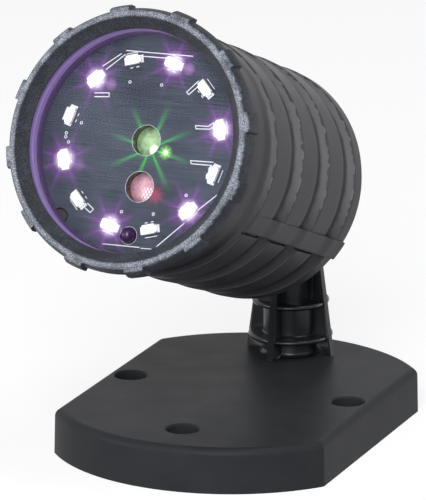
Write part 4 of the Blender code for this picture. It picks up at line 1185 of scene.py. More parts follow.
@dataclass
class Fork:
    """The swivel fork, the hinge bolt with its washers, and the clamp knob, round the hinge's middle."""

    foot: float = 15.5
    disc: float = 3.0
    bearing_radius: float = 12.2
    screw_hole: float = 2.7
    ear_inner: float = 5.6
    ear: float = 3.6
    ear_radius: float = 7.5
    ear_foot: float = 7.6
    bolt_radius: float = 3.0
    bolt_head: float = 5.2
    bolt_head_height: float = 4.0
    washer: Point2 = (6.2, 1.0)
    gap: float = 0.3
    knob_radius: float = 10.6
    knob_lobe: float = 1.1
    knob_lobes: int = 6
    knob_length: float = 12.4
    insert_radius: float = 5.2
    insert_length: float = 5.6
    knob_edge: float = 1.1
    dish: Point3 = (5.6, 6.4, 0.7)
    tip_inset: float = 2.1
    tip_chamfer: float = 0.5

    @property
    def ear_outer(self) -> float:
        """How far the ears' outer faces lie from the middle."""
        return self.ear_inner + self.ear

    @property
    def knob_face(self) -> float:
        """How far the knob's face lies from the middle."""
        return self.ear_outer + 2 * self.gap + self.washer[1]

    def build_fork(self, material: Material) -> None:
        """Models the disc with its two ears.

        Args:
            material: Its plastic.
        """
        low, high = -self.foot, -self.foot + self.disc
        radius, fine, wide = self.bearing_radius, 0.4, 0.8
        profile = [(self.screw_hole, low), (radius - fine, low), (radius, low + fine), (radius, high - wide),
                   (radius - wide, high), (self.screw_hole, high)]
        item = lathe("swivel_yoke_dressed", profile, 96)
        root = self.foot - 0.6 * self.disc
        outline = arm_outline(self.ear_radius, root, self.ear_foot)
        middle = self.ear_inner + self.ear / 2
        for side in (-1, 1):
            ear = raise_outline("ear", outline, -self.ear / 2, self.ear / 2)
            place(ear, Matrix.Translation((side * middle, 0, 0)) @ turn(-90, "Y"))
            combine(item, ear, Operation.ADD)
        bore = place(rod("bore", self.bolt_radius + self.gap, -20, 20), turn(90, "Y"))
        combine(item, bore, Operation.CUT)
        soften(item, 0.35, 2, 40)
        dress(item, 40, [material], Body.FORK, "base_plastic", FORK, "swivel_yoke")

    def build_bolt(self, material: Material) -> None:
        """Models the hinge bolt and the two washers on it.

        Args:
            material: Its metal.
        """
        head = self.ear_outer + 2 * self.gap + self.washer[1]
        tip = -self.knob_face - self.knob_length + self.tip_inset
        shank = lathe("hinge_bolt_dressed", [
            (0, tip), (self.bolt_radius - self.tip_chamfer, tip), (self.bolt_radius, tip + self.tip_chamfer),
            (self.bolt_radius, head + 1.0), (0, head + 1.0)], 48)
        hexagon = rod("head", self.bolt_head, head, head + self.bolt_head_height, sides=6)
        top = head + self.bolt_head_height
        wide = self.bolt_head * 1.1
        crown = lathe("crown", [(0, head - 1), (wide, head - 1), (wide, top - 1.0),
                                (self.bolt_head * 0.8, top), (0, top)], 48)
        combine(hexagon, crown, Operation.KEEP)
        combine(shank, hexagon, Operation.ADD)
        dress(shank, 25, [material], Body.FORK, "zinc_steel", FORK @ turn(90, "Y"), "hinge_bolt")
        radius, thickness = self.washer
        inner = self.bolt_radius + self.gap
        for name, low in (("bolt_washer", self.ear_outer + self.gap),
                          ("knob_washer", -self.knob_face + self.gap)):
            ring = lathe(f"{name}_dressed", slab(inner, radius, low, low + thickness, 0.2), 64)
            dress(ring, 50, [material], Body.FORK, "zinc_steel", FORK @ turn(90, "Y"), name)

    def knob_outline(self, shrink: float) -> list[Point2]:
        """Gives the knob's lobed outline, moved in by a distance."""
        points = []
        for i in range(self.knob_lobes * 24):
            angle = 2 * math.pi * i / (self.knob_lobes * 24)
            radius = self.knob_radius - shrink + self.knob_lobe * math.cos(self.knob_lobes * angle)
            points.append((radius * math.cos(angle), radius * math.sin(angle)))
        return points

    def build_knob(self, plastic: Material, brass: Material) -> None:
        """Models the clamp knob with its recessed end, and the brass insert in it.

        Args:
            plastic: The knob's plastic.
            brass: The insert's metal.
        """
        knob = raise_outline("clamp_knob_dressed", self.knob_outline(0.0), 0.0, self.knob_length)
        select_faces(knob, lambda face: abs(face.normal.z) > 0.9)
        bpy.ops.mesh.region_to_loop()
        bpy.ops.mesh.bevel(offset=self.knob_edge, segments=5, affect="EDGES")
        close()
        combine(knob, rod("seat", self.insert_radius + self.gap, -1.0, self.insert_length + 0.6, sides=6),
                Operation.CUT)
        combine(knob, rod("bore", self.bolt_radius + self.gap, 1.0, self.knob_length - 1.8), Operation.CUT)
        bottom, mouth, depth = self.dish
        floor = self.knob_length - depth
        dish = lathe("dish", [(0, floor), (bottom, floor), (mouth, self.knob_length + 1),
                              (0, self.knob_length + 1)], 64)
        combine(knob, dish, Operation.CUT)
        at = FORK @ shift(-self.knob_face) @ turn(-90, "Y")
        dress(knob, 30, [plastic], Body.KNOB, "base_plastic", at, "clamp_knob")
        insert = rod("knob_insert_dressed", self.insert_radius, self.gap, self.gap + self.insert_length,
                     sides=6)
        combine(insert, rod("thread", self.bolt_radius + self.gap, -1, self.insert_length + 2), Operation.CUT)
        soften(insert, 0.25, 2, 30)
        dress(insert, 30, [brass], Body.KNOB, "brass", at, "knob_insert")


# The head

@dataclass
class Skin:
    """The ridged skin's driving sizes, as depths behind the bezel's opening."""

    collar_front: float = 3.0
    collar_radius: float = 40.7
    first: float = 25.2
    pitch: float = 21.7
    count: int = 4
    radius: float = 41.1
    radius_fall: float = 0.27
    flat: float = 11.6
    flat_fall: float = 0.45
    groove: float = 1.5
    groove_lean: float = 1.5
    end: float = 97.0
    edge: float = 0.9
    front_bore: float = 38.9
    rear_bore: float = 36.8
    spigot: float = 40.2
    shoulder: tuple[float, float, float] = (11.05, 13.6, 33.5)
    band_angle: float = -30.0
    band_width: float = 7.0
    band_rise: float = 0.06
    band_edge: float = 0.25
    slot: Point3 = (13.4, 1.1, 1.3)
    slot_inset: float = 1.0

    def crest(self, index: int) -> Point2:
        """Gives the depth and radius of a ridge's front edge."""
        return self.first + self.pitch * index, self.radius - self.radius_fall * index

    def outside(self) -> list[Point2]:
        """Gives the skin's section as (depth, radius), from the collar to the rear edge."""
        points = [(self.collar_front, self.collar_radius - 0.3), (self.collar_front + 0.3, self.collar_radius),
                  (self.first - 5.9, self.collar_radius - 0.04), (self.first - 5.3, self.collar_radius - 0.3),
                  (self.first - 3.4, self.collar_radius - 0.42), (self.first - 2.4, self.collar_radius - 0.34),
                  (self.first - 1.2, self.collar_radius - 0.12)]
        for index in range(self.count):
            depth, radius = self.crest(index)
            for angle in (180, 150, 120, 95):
                turned = math.radians(angle)
                points.append((depth + 0.7 + 0.7 * math.cos(turned), radius - 0.45 + 0.45 * math.sin(turned)))
            if index == self.count - 1:
                break
            start = (depth + self.flat, radius - self.flat_fall)
            next_depth, next_radius = self.crest(index + 1)
            rise = (next_depth, next_radius - 0.45)
            points.append((start[0] - 0.8, start[1] + 0.03))
            steps = 12
            for step in range(steps):
                share = step / steps
                bent = share ** self.groove_lean
                level = start[1] + (rise[1] - start[1]) * share
                sunk = 4 * self.groove * bent * (1 - bent)
                points.append((start[0] + (rise[0] - start[0]) * share, level - sunk))
        last = self.crest(self.count - 1)[0]
        slope = self.flat_fall / self.flat
        low = self.crest(self.count - 1)[1] - slope * (self.end - last)
        for angle in (90, 60, 30, 0):
            turned = math.radians(angle)
            points.append((self.end - self.edge + self.edge * math.cos(turned),
                           low - self.edge + self.edge * math.sin(turned)))
        return points

    def section(self) -> list[Point2]:
        """Gives the housing's whole section as (radius, height), with the depths running down."""
        front, back, ring = self.shoulder
        spigot_front = 0.15
        loop = [(spigot_front, self.front_bore), (spigot_front, self.spigot - 0.3),
                (spigot_front + 0.3, self.spigot), (self.collar_front, self.spigot)]
        loop += self.outside()
        loop += [(self.end, self.rear_bore), (back, self.rear_bore), (back, ring), (front, ring),
                 (front, self.front_bore)]
        return [(radius, -depth) for depth, radius in loop]


@dataclass
class Barrel:
    """The head's housing."""

    skin: Skin = field(default_factory=Skin)
    boss: Point2 = (4.8, 13.0)
    boss_place: float = 32.6
    pilot: Point2 = (1.8, 9.0)
    peg: tuple[float, float, float] = (2.4, -135.0, 37.0)
    peg_front: float = 9.3

    def band(self, angle: float) -> Thing:
        """Makes the solid of one smooth side band.

        Args:
            angle: Where it runs, in degrees from the head's right.

        Returns:
            The band.
        """
        skin = self.skin
        half = math.degrees(skin.band_width / 2 / skin.radius)
        inner = skin.rear_bore + 0.5 * (skin.radius - skin.groove - skin.rear_bore)
        outer = skin.radius + skin.band_rise
        outline = arc(outer, angle - half, angle + half, 12) + arc(inner, angle + half, angle - half, 1)
        item = raise_outline("band", outline, -skin.end + skin.edge, -skin.first - 0.35)
        return soften(item, skin.band_edge, 2, 60)

    def slots(self, angle: float) -> Thing:
        """Makes the cutter of the three narrow slots below one side band.

        Args:
            angle: Where the band runs, in degrees from the head's right.

        Returns:
            The cutter.
        """
        skin = self.skin
        long, tall, deep = skin.slot
        below = -1 if abs(angle) < 90 else 1
        turned = angle + below * math.degrees((skin.band_width / 2 + tall / 2) / skin.radius)
        bars = []
        for index in range(skin.count - 1):
            start = skin.first + skin.pitch * index - skin.slot_inset
            level = skin.crest(index)[1]
            bar = block("slot", (level - deep, -tall / 2, -start - long), (level + deep, tall / 2, -start))
            bars.append(place(bar, turn(turned, "Z")))
        return join(bars)

    def build(self, material: Material) -> None:
        """Models the housing and dresses it.

        Args:
            material: Its plastic.
        """
        skin = self.skin
        item = lathe("barrel_housing_dressed", skin.section(), 160)
        for angle in (skin.band_angle, 180 - skin.band_angle):
            combine(item, self.slots(angle), Operation.CUT)
            combine(item, self.band(angle), Operation.ADD)
        radius, length = self.boss
        spots = arc(self.boss_place, 45, 315, 3)
        bosses = join([rod("boss", radius, -skin.end, -skin.end + length, spot) for spot in spots])
        combine(item, bosses, Operation.ADD)
        peg_radius, peg_angle, peg_place = self.peg
        spot = arc(peg_place, peg_angle, peg_angle, 1)[0]
        peg = rod("peg", peg_radius, -skin.shoulder[0] - 0.8, -self.peg_front, spot)
        soften(peg, 0.3, 2, 40)
        combine(item, peg, Operation.ADD)
        pilot, depth = self.pilot
        holes = join([rod("hole", pilot, -skin.end - 1, -skin.end + depth, spot) for spot in spots])
        combine(item, holes, Operation.CUT)
        dress(item, 28, [material], Body.HEAD, "housing_plastic", HEAD, "barrel_housing")


@dataclass
class Bezel:
    """The bezel ring with its dished front and grip lugs."""

    opening: float = 36.9
    lip: float = 0.9
    crest_depth: float = -3.4
    crest_inner: float = 40.4
    crest_outer: float = 42.3
    shoulder: Point2 = (-2.2, 42.8)
    radius: float = 43.6
    rear: float = 2.7
    spigot_bore: float = 40.5
    gasket_bore: float = 38.6
    lugs: int = 12
    lug_rise: float = 1.2
    lug_steps: int = 6
    steps: int = 240
    lug_phase: float = 12.6

    def section(self) -> list[Point2]:
        """Gives the ring's section as (radius, height), with the depths running down."""
        dish = [(0.0, self.opening + 0.15)]
        for share in (0.25, 0.5, 0.75, 0.93):
            bow = 0.5 * math.sin(math.pi * share)
            dish.append((self.crest_depth * share + bow * 0.4,
                         self.opening + (self.crest_inner - self.opening) * share + bow * 0.3))
        rim = [(self.crest_depth + 0.22, self.crest_inner), (self.crest_depth + 0.06, self.crest_inner + 0.3),
               (self.crest_depth, self.crest_inner + 0.75), (self.crest_depth, self.crest_outer - 0.7),
               (self.crest_depth + 0.12, self.crest_outer - 0.3), (self.crest_depth + 0.45, self.crest_outer),
               self.shoulder, (0.0, self.radius)]
        rear = [(self.rear - 0.3, self.radius), (self.rear, self.radius - 0.3), (self.rear, self.spigot_bore),
                (-0.15, self.spigot_bore), (-0.15, self.gasket_bore), (self.lip, self.gasket_bore),
                (self.lip, self.opening), (0.15, self.opening)]
        return [(radius, -depth) for depth, radius in dish + rim + rear]

    def build(self, material: Material) -> None:
        """Models the ring, pulls out its lugs and dresses it.

        Args:
            material: Its speckled plastic.
        """
        half = 180 / self.steps * self.lug_steps
        pitch = 360 / self.lugs

        def on_lug(face: Face) -> bool:
            """Says whether a face lies on the outside, where a lug is.

            Args:
                face: The face to look at.

            Returns:
                True where the lug is pulled out.
            """
            middle = face.calc_center_median()
            radial = Vector((middle.x, middle.y, 0)).normalized()
            angle = math.degrees(math.atan2(middle.y, middle.x))
            off = abs((angle + pitch / 2) % pitch - pitch / 2)
            outer = middle.xy.length > self.crest_outer + 0.05 and face.normal.dot(radial) > 0.3
            return off < half and outer

        item = lathe("bezel_ring_dressed", self.section(), self.steps)
        select_faces(item, on_lug)
        scale = 1 + self.lug_rise / self.radius
        bpy.ops.mesh.extrude_region_move()
        bpy.ops.transform.resize(value=(scale, scale, 1.0))
        tidy_mesh()
        close()
        soften(item, 0.22, 2, 50)
        at = HEAD @ turn(self.lug_phase, "Z")
        dress(item, 40, [material], Body.HEAD, "bezel_plastic", at, "bezel_ring")


@dataclass
class FrontStack:
    """The window, its gasket and the clamp ring behind the bezel's lip."""

    outer: float = 38.6
    lens: Point2 = (1.2, 3.0)
    gasket: Point2 = (3.3, 5.9)
    gasket_inner: float = 36.9
    clamp: Point2 = (6.2, 8.85)
    clamp_inner: float = 36.3
    steps: int = 160

    def build(self, clear: Material, gasket: Material, black: Material) -> None:
        """Models the three and dresses them.

        Args:
            clear: The window's finish.
            gasket: The gasket's finish, violet with painted light.
            black: The clamp ring's dark plastic, with a painted violet glow.
        """
        front, back = self.lens
        window = lathe("front_lens_dressed", slab(0, self.outer, -back, -front, 0.3), self.steps)
        dress(window, 30, [clear], Body.HEAD, "lens_glass", HEAD, "front_lens")
        for name, slot, (front, back), inner, chamfer, finish in (
                ("lens_gasket", "pale_gasket", self.gasket, self.gasket_inner, 0.3, gasket),
                ("board_clamp_ring", "housing_plastic", self.clamp, self.clamp_inner, 0.2, black)):
            section = [(inner + chamfer, -front), (self.outer, -front), (self.outer, -back), (inner, -back),
                       (inner, -front - 0.3)]
            ring = lathe(f"{name}_dressed", section, self.steps)
            dress(ring, 30, [finish], Body.HEAD, slot, HEAD, name)


@dataclass
class LightBoard:
    """The round board with its lights, traces, laser windows and light sensor."""

    front: float = 9.15
    thickness: float = 1.6
    radius: float = 38.6
    lasers: tuple[Point2, ...] = ((1.3, 1.5), (1.3, -13.8))
    laser_hole: float = 5.05
    sensor: Point2 = (0.0, -30.0)
    sensor_radius: float = 2.5
    notch: tuple[float, float, float] = (3.0, -135.0, 37.0)
    led_circle: float = 28.35
    led_base: float = 8.85
    led_size: Point3 = (3.2, 5.6, 1.3)
    lit: tuple[int, ...] = (0, 2, 4, 6, 8, 10)
    # ghost and ghost_light place and weigh a painted reflection of each lit light in the window, seen on the
    # board.
    ghost: Point2 = (5.7, -1.3)
    ghost_light: dict[int, float] = field(default_factory=lambda: {
        0: 0.0, 2: 0.3, 4: 0.24, 6: 0.1, 8: 0.0, 10: 0.1})
    trace: float = 0.3
    grating_front: float = 12.9
    grating: Point2 = (5.3, 1.0)
    module: tuple[float, float, float] = (6.2, 12.6, 26.0)
    vias: tuple[Point2, ...] = (
        (-7.7, 20.1), (3.9, 20.1), (-23.2, 5.2), (-28.2, 1.4), (-28.2, 0.1), (-26.9, -1.5), (-3.9, -22.5),
        (7.7, -22.2), (18.5, -15.0))
    traces: tuple[tuple[Point2, ...], ...] = (
        ((-10.5, 30.3), (13.6, 30.4)), ((-4.2, 28.9), (4.3, 29.0)), ((-18.4, 24.5), (-12.4, 29.0)),
        ((-17.0, 23.5), (-10.9, 28.9)), ((-19.9, 15.4), (-14.7, 15.9), (-14.5, 14.6), (-19.7, 14.2)),
        ((17.0, 22.5), (13.3, 18.5), (14.2, 17.8), (18.0, 21.6)),
        ((24.6, 9.5), (22.8, 8.05), (18.2, 7.9), (18.6, 6.9), (23.5, 7.2), (25.0, 8.2)),
        ((26.3, -3.4), (18.3, -3.6), (18.7, -4.6), (26.0, -4.5)), ((10.7, -32.5), (19.2, -24.2)),
        ((23.5, -19.4), (29.6, -13.8)), ((-8.9, -33.6), (4.3, -33.5)), ((5.1, -33.7), (8.7, -33.6)),
        ((-16.6, -21.0), (-14.2, -22.6), (-15.2, -23.9), (-17.2, -22.6)))

    def led_angle(self, index: int) -> float:
        """Gives the angle of a light, in degrees."""
        return 30.0 * index + 15.0

    def led_place(self, index: int) -> Point2:
        """Gives the middle of a light on the board."""
        return arc(self.led_circle, self.led_angle(index), self.led_angle(index), 1)[0]

    def build_board(self, lacquer: Material, tin: Material) -> None:
        """Models the board with its holes, and the tinned traces, pads and rims on it.

        Args:
            lacquer: The board's finish.
            tin: The traces' metal.
        """
        back = self.front + self.thickness
        board = rod("led_board_dressed", self.radius, -back, -self.front, sides=160)
        notch_radius, notch_angle, notch_place = self.notch
        tools = [rod("window", self.laser_hole, -back - 1, -self.front + 1, spot, 64) for spot in self.lasers]
        tools.append(rod("sensor", self.sensor_radius + 0.3, -back - 1, -self.front + 1, self.sensor, 48))
        tools.append(rod("notch", notch_radius, -back - 1, -self.front + 1,
                         arc(notch_place, notch_angle, notch_angle, 1)[0], 48))
        combine(board, join(tools), Operation.CUT)
        dress(board, 30, [lacquer], Body.HEAD, "board_lacquer", HEAD, "led_board")
        lines = [self.strip(a, b) for route in self.traces for a, b in zip(route, route[1:])]
        rings = []
        for spot in self.vias:
            rings.append(self.rim(spot, 0.42, 0.14))
        for spot in self.lasers:
            rings.append(self.rim(spot, self.laser_hole + 0.06, 0.06))
        rings.append(self.rim(self.sensor, self.sensor_radius + 0.42, 0.06))
        for index in range(12):
            lines += self.pads(self.led_angle(index))
        marks = join(lines + rings)
        marks.name = "board_traces"
        dress(marks, 30, [tin], Body.HEAD, "board_lacquer", HEAD)

    def strip(self, start: Point2, end: Point2) -> Thing:
        """Makes one straight piece of trace on the board.

        Args:
            start: Its first end.
            end: Its other end.

        Returns:
            The strip.
        """
        a, b = Vector(start), Vector(end)
        half = self.trace / 2
        item = block("strip", (-half, -half, 0.0), ((b - a).length + half, half, 0.07))
        lean = math.degrees(math.atan2(*(b - a).yx))
        return place(item, Matrix.Translation((*a, -self.front)) @ turn(lean, "Z"))

    def rim(self, spot: Point2, radius: float, thickness: float) -> Thing:
        """Makes a tinned ring round a hole.

        Args:
            spot: Its middle.
            radius: The radius of its middle line.
            thickness: Half its width.

        Returns:
            The ring.
        """
        deselect()
        bpy.ops.mesh.primitive_torus_add(major_radius=radius, minor_radius=thickness, major_segments=48,
                                         minor_segments=8, location=(*spot, -self.front))
        item = bpy.context.object
        bpy.ops.object.transform_apply(location=True, rotation=True, scale=True)
        return item

    def pads(self, angle: float) -> list[Thing]:
        """Makes the solder pads and marks round one light.

        Args:
            angle: The light's angle.

        Returns:
            The pads and marks.
        """
        at = turn(angle, "Z") @ shift(self.led_circle, 0, -self.front)
        found = []
        for side in (-1, 1):
            found.append(block("pad", (-1.3, side * 2.9 - 0.55, 0.0), (1.3, side * 2.9 + 0.55, 0.1)))
            found.append(block("dash", (-2.6, side * 1.1 - 0.5, 0.0), (-2.3, side * 1.1 + 0.5, 0.07)))
        found.append(block("line", (2.3, -2.0, 0.0), (2.55, 2.4, 0.07)))
        return [place(item, at) for item in found]

    def lamp(self) -> Thing:
        """Models one light: a body with a sunk window, and two bent terminals."""
        wide, long, high = self.led_size
        half = long / 2 - 0.6
        body = block("lamp", (-wide / 2, -half, 0.0), (wide / 2, half, high))
        select_faces(body, lambda face: face.normal.z > 0.9)
        bpy.ops.mesh.inset(thickness=0.3)
        bpy.ops.mesh.extrude_region_move(TRANSFORM_OT_translate={"value": (0, 0, -0.12)})
        close()
        for side in (-1, 1):
            near, far = side * (half - 0.1), side * long / 2
            terminal = block("terminal", (-1.1, min(near, far), 0.0), (1.1, max(near, far), 0.75))
            combine(body, terminal, Operation.ADD)
        soften(body, 0.1, 2, 50)
        return smooth(body, 40)

    def build_lamps(self, white: Material, tin: Material, dark: Material,
                    glow: Material, bright: Material) -> None:
        """Copies the light round the board, every other one of them lit.

        Args:
            white: The bodies' plastic, with a faint painted glow.
            tin: The terminals' metal.
            dark: The window of a light that is off, with a faint painted glow.
            glow: The body of a light that is on.
            bright: The window of a light that is on.
        """
        wide, long, high = self.led_size
        first = self.lamp()

        def rule(middle: Vector, normal: Vector) -> int:
            """Tells a face's part of the lamp.

            Args:
                middle: The middle of the face.
                normal: Where the face points.

            Returns:
                1 for the tinned ends, 2 for the window and 0 for the body.
            """
            if abs(middle.y) > long / 2 - 0.62:
                return 1
            inside = abs(middle.x) < wide / 2 - 0.28 and abs(middle.y) < long / 2 - 0.85
            return 2 if inside and normal.z > 0.9 and middle.z > high - 0.3 else 0

        for index in range(12):
            name = f"led_{index + 1:02d}"
            lamp = copy_of(first, f"{name}_dressed")
            lit = index in self.lit
            paint(lamp, [glow, glow, bright] if lit else [white, tin, dark], rule)
            at = HEAD @ turn(self.led_angle(index), "Z") @ shift(self.led_circle, z=-self.led_base)
            hand_over(lamp, Body.HEAD, "led_body", at, name)
        bpy.data.objects.remove(first)

    def build_sensor(self, dome: Material) -> None:
        """Models the domed light sensor.

        Args:
            dome: Its finish.
        """
        tip = -self.front + 1.1
        profile = [(0.0, -12.15), (3.1, -12.15), (3.1, -11.05), (self.sensor_radius, -11.05)]
        profile += arc(self.sensor_radius, 0, 84, 12, (0.0, tip)) + [(0.0, tip + self.sensor_radius)]
        item = lathe("light_sensor_dressed", profile, 64)
        dress(item, 40, [dome], Body.HEAD, "sensor_body", HEAD @ shift(*self.sensor), "light_sensor")

    def build_lasers(self, brass: Material, windows: dict[str, Material]) -> None:
        """Models the laser modules and the gratings in their mouths.

        Args:
            brass: The modules' metal.
            windows: The finish of each grating, by colour name.
        """
        radius, front, length = self.module
        width, thickness = self.grating
        seat = self.grating_front + thickness + 0.3
        for (name, finish), spot in zip(windows.items(), self.lasers):
            profile = [(0, -seat), (width + 0.3, -seat), (width + 0.3, -front - 0.3), (width + 0.5, -front),
                       (radius - 0.2, -front), (radius, -front - 0.2), (radius, -front - length),
                       (4.6, -front - length), (4.6, -front - length - 7.0), (0, -front - length - 7.0)]
            module = lathe(f"{name}_laser_module_dressed", profile, 64)
            at = HEAD @ Matrix.Translation((*spot, 0))
            dress(module, 30, [brass], Body.HEAD, "brass", at, f"{name}_laser_module")
            back = self.grating_front + thickness
            disc = lathe(f"{name}_grating_dressed", slab(0, width, -back, -self.grating_front, 0.15), 64)
            dress(disc, 30, [finish], Body.HEAD, f"{name}_grating", at, f"{name}_grating")


@dataclass
class RearCap:
    """The rear cap with its knuckle, gasket, screws and cable gland."""

    radius: float = 38.4
    flange: Point2 = (98.4, 100.8)
    gasket: Point2 = (97.3, 98.1)
    gasket_inner: float = 36.9
    cone: float = 26.5
    face_radius: float = 24.0
    face: float = 106.5
    wall: float = 2.5
    knuckle_radius: float = 7.0
    knuckle_width: float = 10.6
    arm_root: float = 10.0
    bolt_hole: float = 3.3
    screw_place: float = 32.6
    screw_head: Point2 = (2.9, 1.9)
    gland_offset: float = 16.2
    gland_radius: float = 4.0
    gland_bore: float = 2.2
    gland_flange: float = 5.8
    gland_length: float = 10.5
    gland_rings: int = 4
    roundings: Point2 = (0.9, 1.2)
    thread: Point3 = (1.5, 11.1, 12.0)
    pilot: float = 1.8

    def build_cap(self, plastic: Material, rubber: Material) -> None:
        """Models the cap and its gasket.

        Args:
            plastic: The cap's plastic.
            rubber: The gasket's rubber.
        """
        front, back = self.flange
        pad = self.gasket_inner - 0.6
        cavity = self.face_radius - self.wall
        inner = front - 1.1
        rounding, face_rounding = self.roundings
        profile = [(0, -self.face + self.wall), (cavity, -self.face + self.wall), (cavity, -inner),
                   (pad, -inner), (pad, -front), (self.radius - 0.3, -front), (self.radius, -front - 0.3),
                   (self.radius, -back + rounding)]
        profile += arc(rounding, 0, -80, 5, (self.radius - rounding, -back + rounding))
        profile += [(self.radius - rounding, -back), (self.cone + 0.6, -back), (self.cone, -back - 0.5),
                    (self.face_radius + 0.5, -self.face + 1.4)]
        profile += arc(face_rounding, 0, -80, 5, (self.face_radius - 0.8, -self.face + face_rounding))
        profile += [(self.face_radius - 0.8, -self.face), (0, -self.face)]
        item = lathe("rear_cap_dressed", profile, 128)
        root = HINGE_TO_OPENING - self.face + 1.0
        level = turn(ROLL, "Z") @ shift(z=-HINGE_TO_OPENING) @ turn(90, "Y")
        half = self.knuckle_width / 2
        arm = raise_outline("arm", arm_outline(self.knuckle_radius, root, self.arm_root), -half, half)
        combine(item, place(arm, level), Operation.ADD)
        combine(item, place(rod("bore", self.bolt_hole, -20, 20), level), Operation.CUT)
        tools = [rod("hole", self.pilot, -back - 1, -inner + 1, spot, 32)
                 for spot in arc(self.screw_place, 45, 315, 3)]
        tools.append(rod("gland", self.gland_radius + 0.3, -self.face - 1, -self.face + self.wall + 1,
                         (0, self.gland_offset)))
        combine(item, join(tools), Operation.CUT)
        soften(item, 0.3, 2, 45)
        dress(item, 35, [plastic], Body.HEAD, "housing_plastic", HEAD, "rear_cap")
        front, back = self.gasket
        edge = self.radius - 0.5
        section = [(self.gasket_inner, -front), (edge, -front), (self.radius - 0.3, -(front + back) / 2),
                   (edge, -back), (self.gasket_inner, -back)]
        ring = lathe("cap_gasket_dressed", section, 128)
        dress(ring, 50, [rubber], Body.HEAD, "black_rubber", HEAD, "cap_gasket")

    def screw(self) -> Thing:
        """Models one pan-head screw with a cross recess, its head's seat at the origin."""
        radius, height = self.screw_head
        shank, taper, tip = self.thread
        profile = [(0, -height)]
        for angle in map(math.radians, (85, 65, 45, 25, 0)):
            profile.append((radius * math.cos(angle), -height * (0.45 + 0.55 * math.sin(angle))))
        profile += [(radius, 0.0), (shank, 0.0), (shank, taper), (0.9, tip), (0, tip)]
        item = lathe("screw", profile, 40)
        for angle in (0, 90):
            slot = block("slot", (-1.5, -0.35, -height - 1), (1.5, 0.35, -height + 1.0))
            combine(item, place(slot, turn(angle, "Z")), Operation.CUT)
        return smooth(item, 35)

    def build_fixings(self, steel: Material, rubber: Material) -> None:
        """Models the cap's screws and the cable gland.

        Args:
            steel: The screws' metal.
            rubber: The gland's rubber.
        """
        first = self.screw()
        seat = self.flange[1] + 0.3
        for index, (x, y) in enumerate(arc(self.screw_place, 45, 315, 3)):
            item = copy_of(first, f"cap_screw_{index + 1}_dressed")
            paint(item, [steel])
            at = HEAD @ shift(x, y, -seat) @ turn(31.0 * index, "Z")
            hand_over(item, Body.HEAD, "zinc_steel", at, f"cap_screw_{index + 1}")
        bpy.data.objects.remove(first)
        at = HEAD @ shift(y=self.gland_offset)
        inner = self.face - self.wall - 3.9
        seat = self.face + 0.3
        end = seat + self.gland_length
        neck = self.gland_flange - 0.8
        flange = self.gland_flange
        profile = [(self.gland_bore, -inner), (self.gland_radius, -inner), (self.gland_radius, -seat),
                   (flange - 0.3, -seat), (flange, -seat - 0.3), (flange, -seat - 2.7),
                   (flange - 0.3, -seat - 3.0), (neck, -seat - 3.2)]
        for step in range(self.gland_rings):
            low = seat + 3.6 + 1.1 * step
            for inset, depth in ((0.0, 0.0), (0.35, 0.25), (0.35, 0.55), (0.1, 0.8)):
                profile.append((neck - inset - 0.12 * step, -low - depth))
        profile += [(neck - 1.3, -end + 1.2), (neck - 2.0, -end), (self.gland_bore, -end)]
        gland = lathe("cable_gland_dressed", profile, 64)
        dress(gland, 30, [rubber], Body.HEAD, "black_rubber", at, "cable_gland")


class DressedFrame:
    """Gives every node of the frame that stays in sight a finish of its own."""

    def __init__(self, finishes: dict[str, Material]) -> None:
        """Keeps the finishes.

        Args:
            finishes: The finish of each material slot.
        """
        self.finishes = finishes
        self.slots = {part["node"]: part["material_slot"] for part in frame["record"]["subparts"]}

    def build(self) -> None:
        """Assigns the finishes."""
        for name, node in frame["nodes"].items():
            if node.hide_render:
                continue
            finish = self.finishes[self.slots[name]]
            if not node.material_slots:
                node.data.materials.append(finish)
            for slot in node.material_slots:
                slot.material = finish
            log.info("%s keeps its solid", name)


# The studio

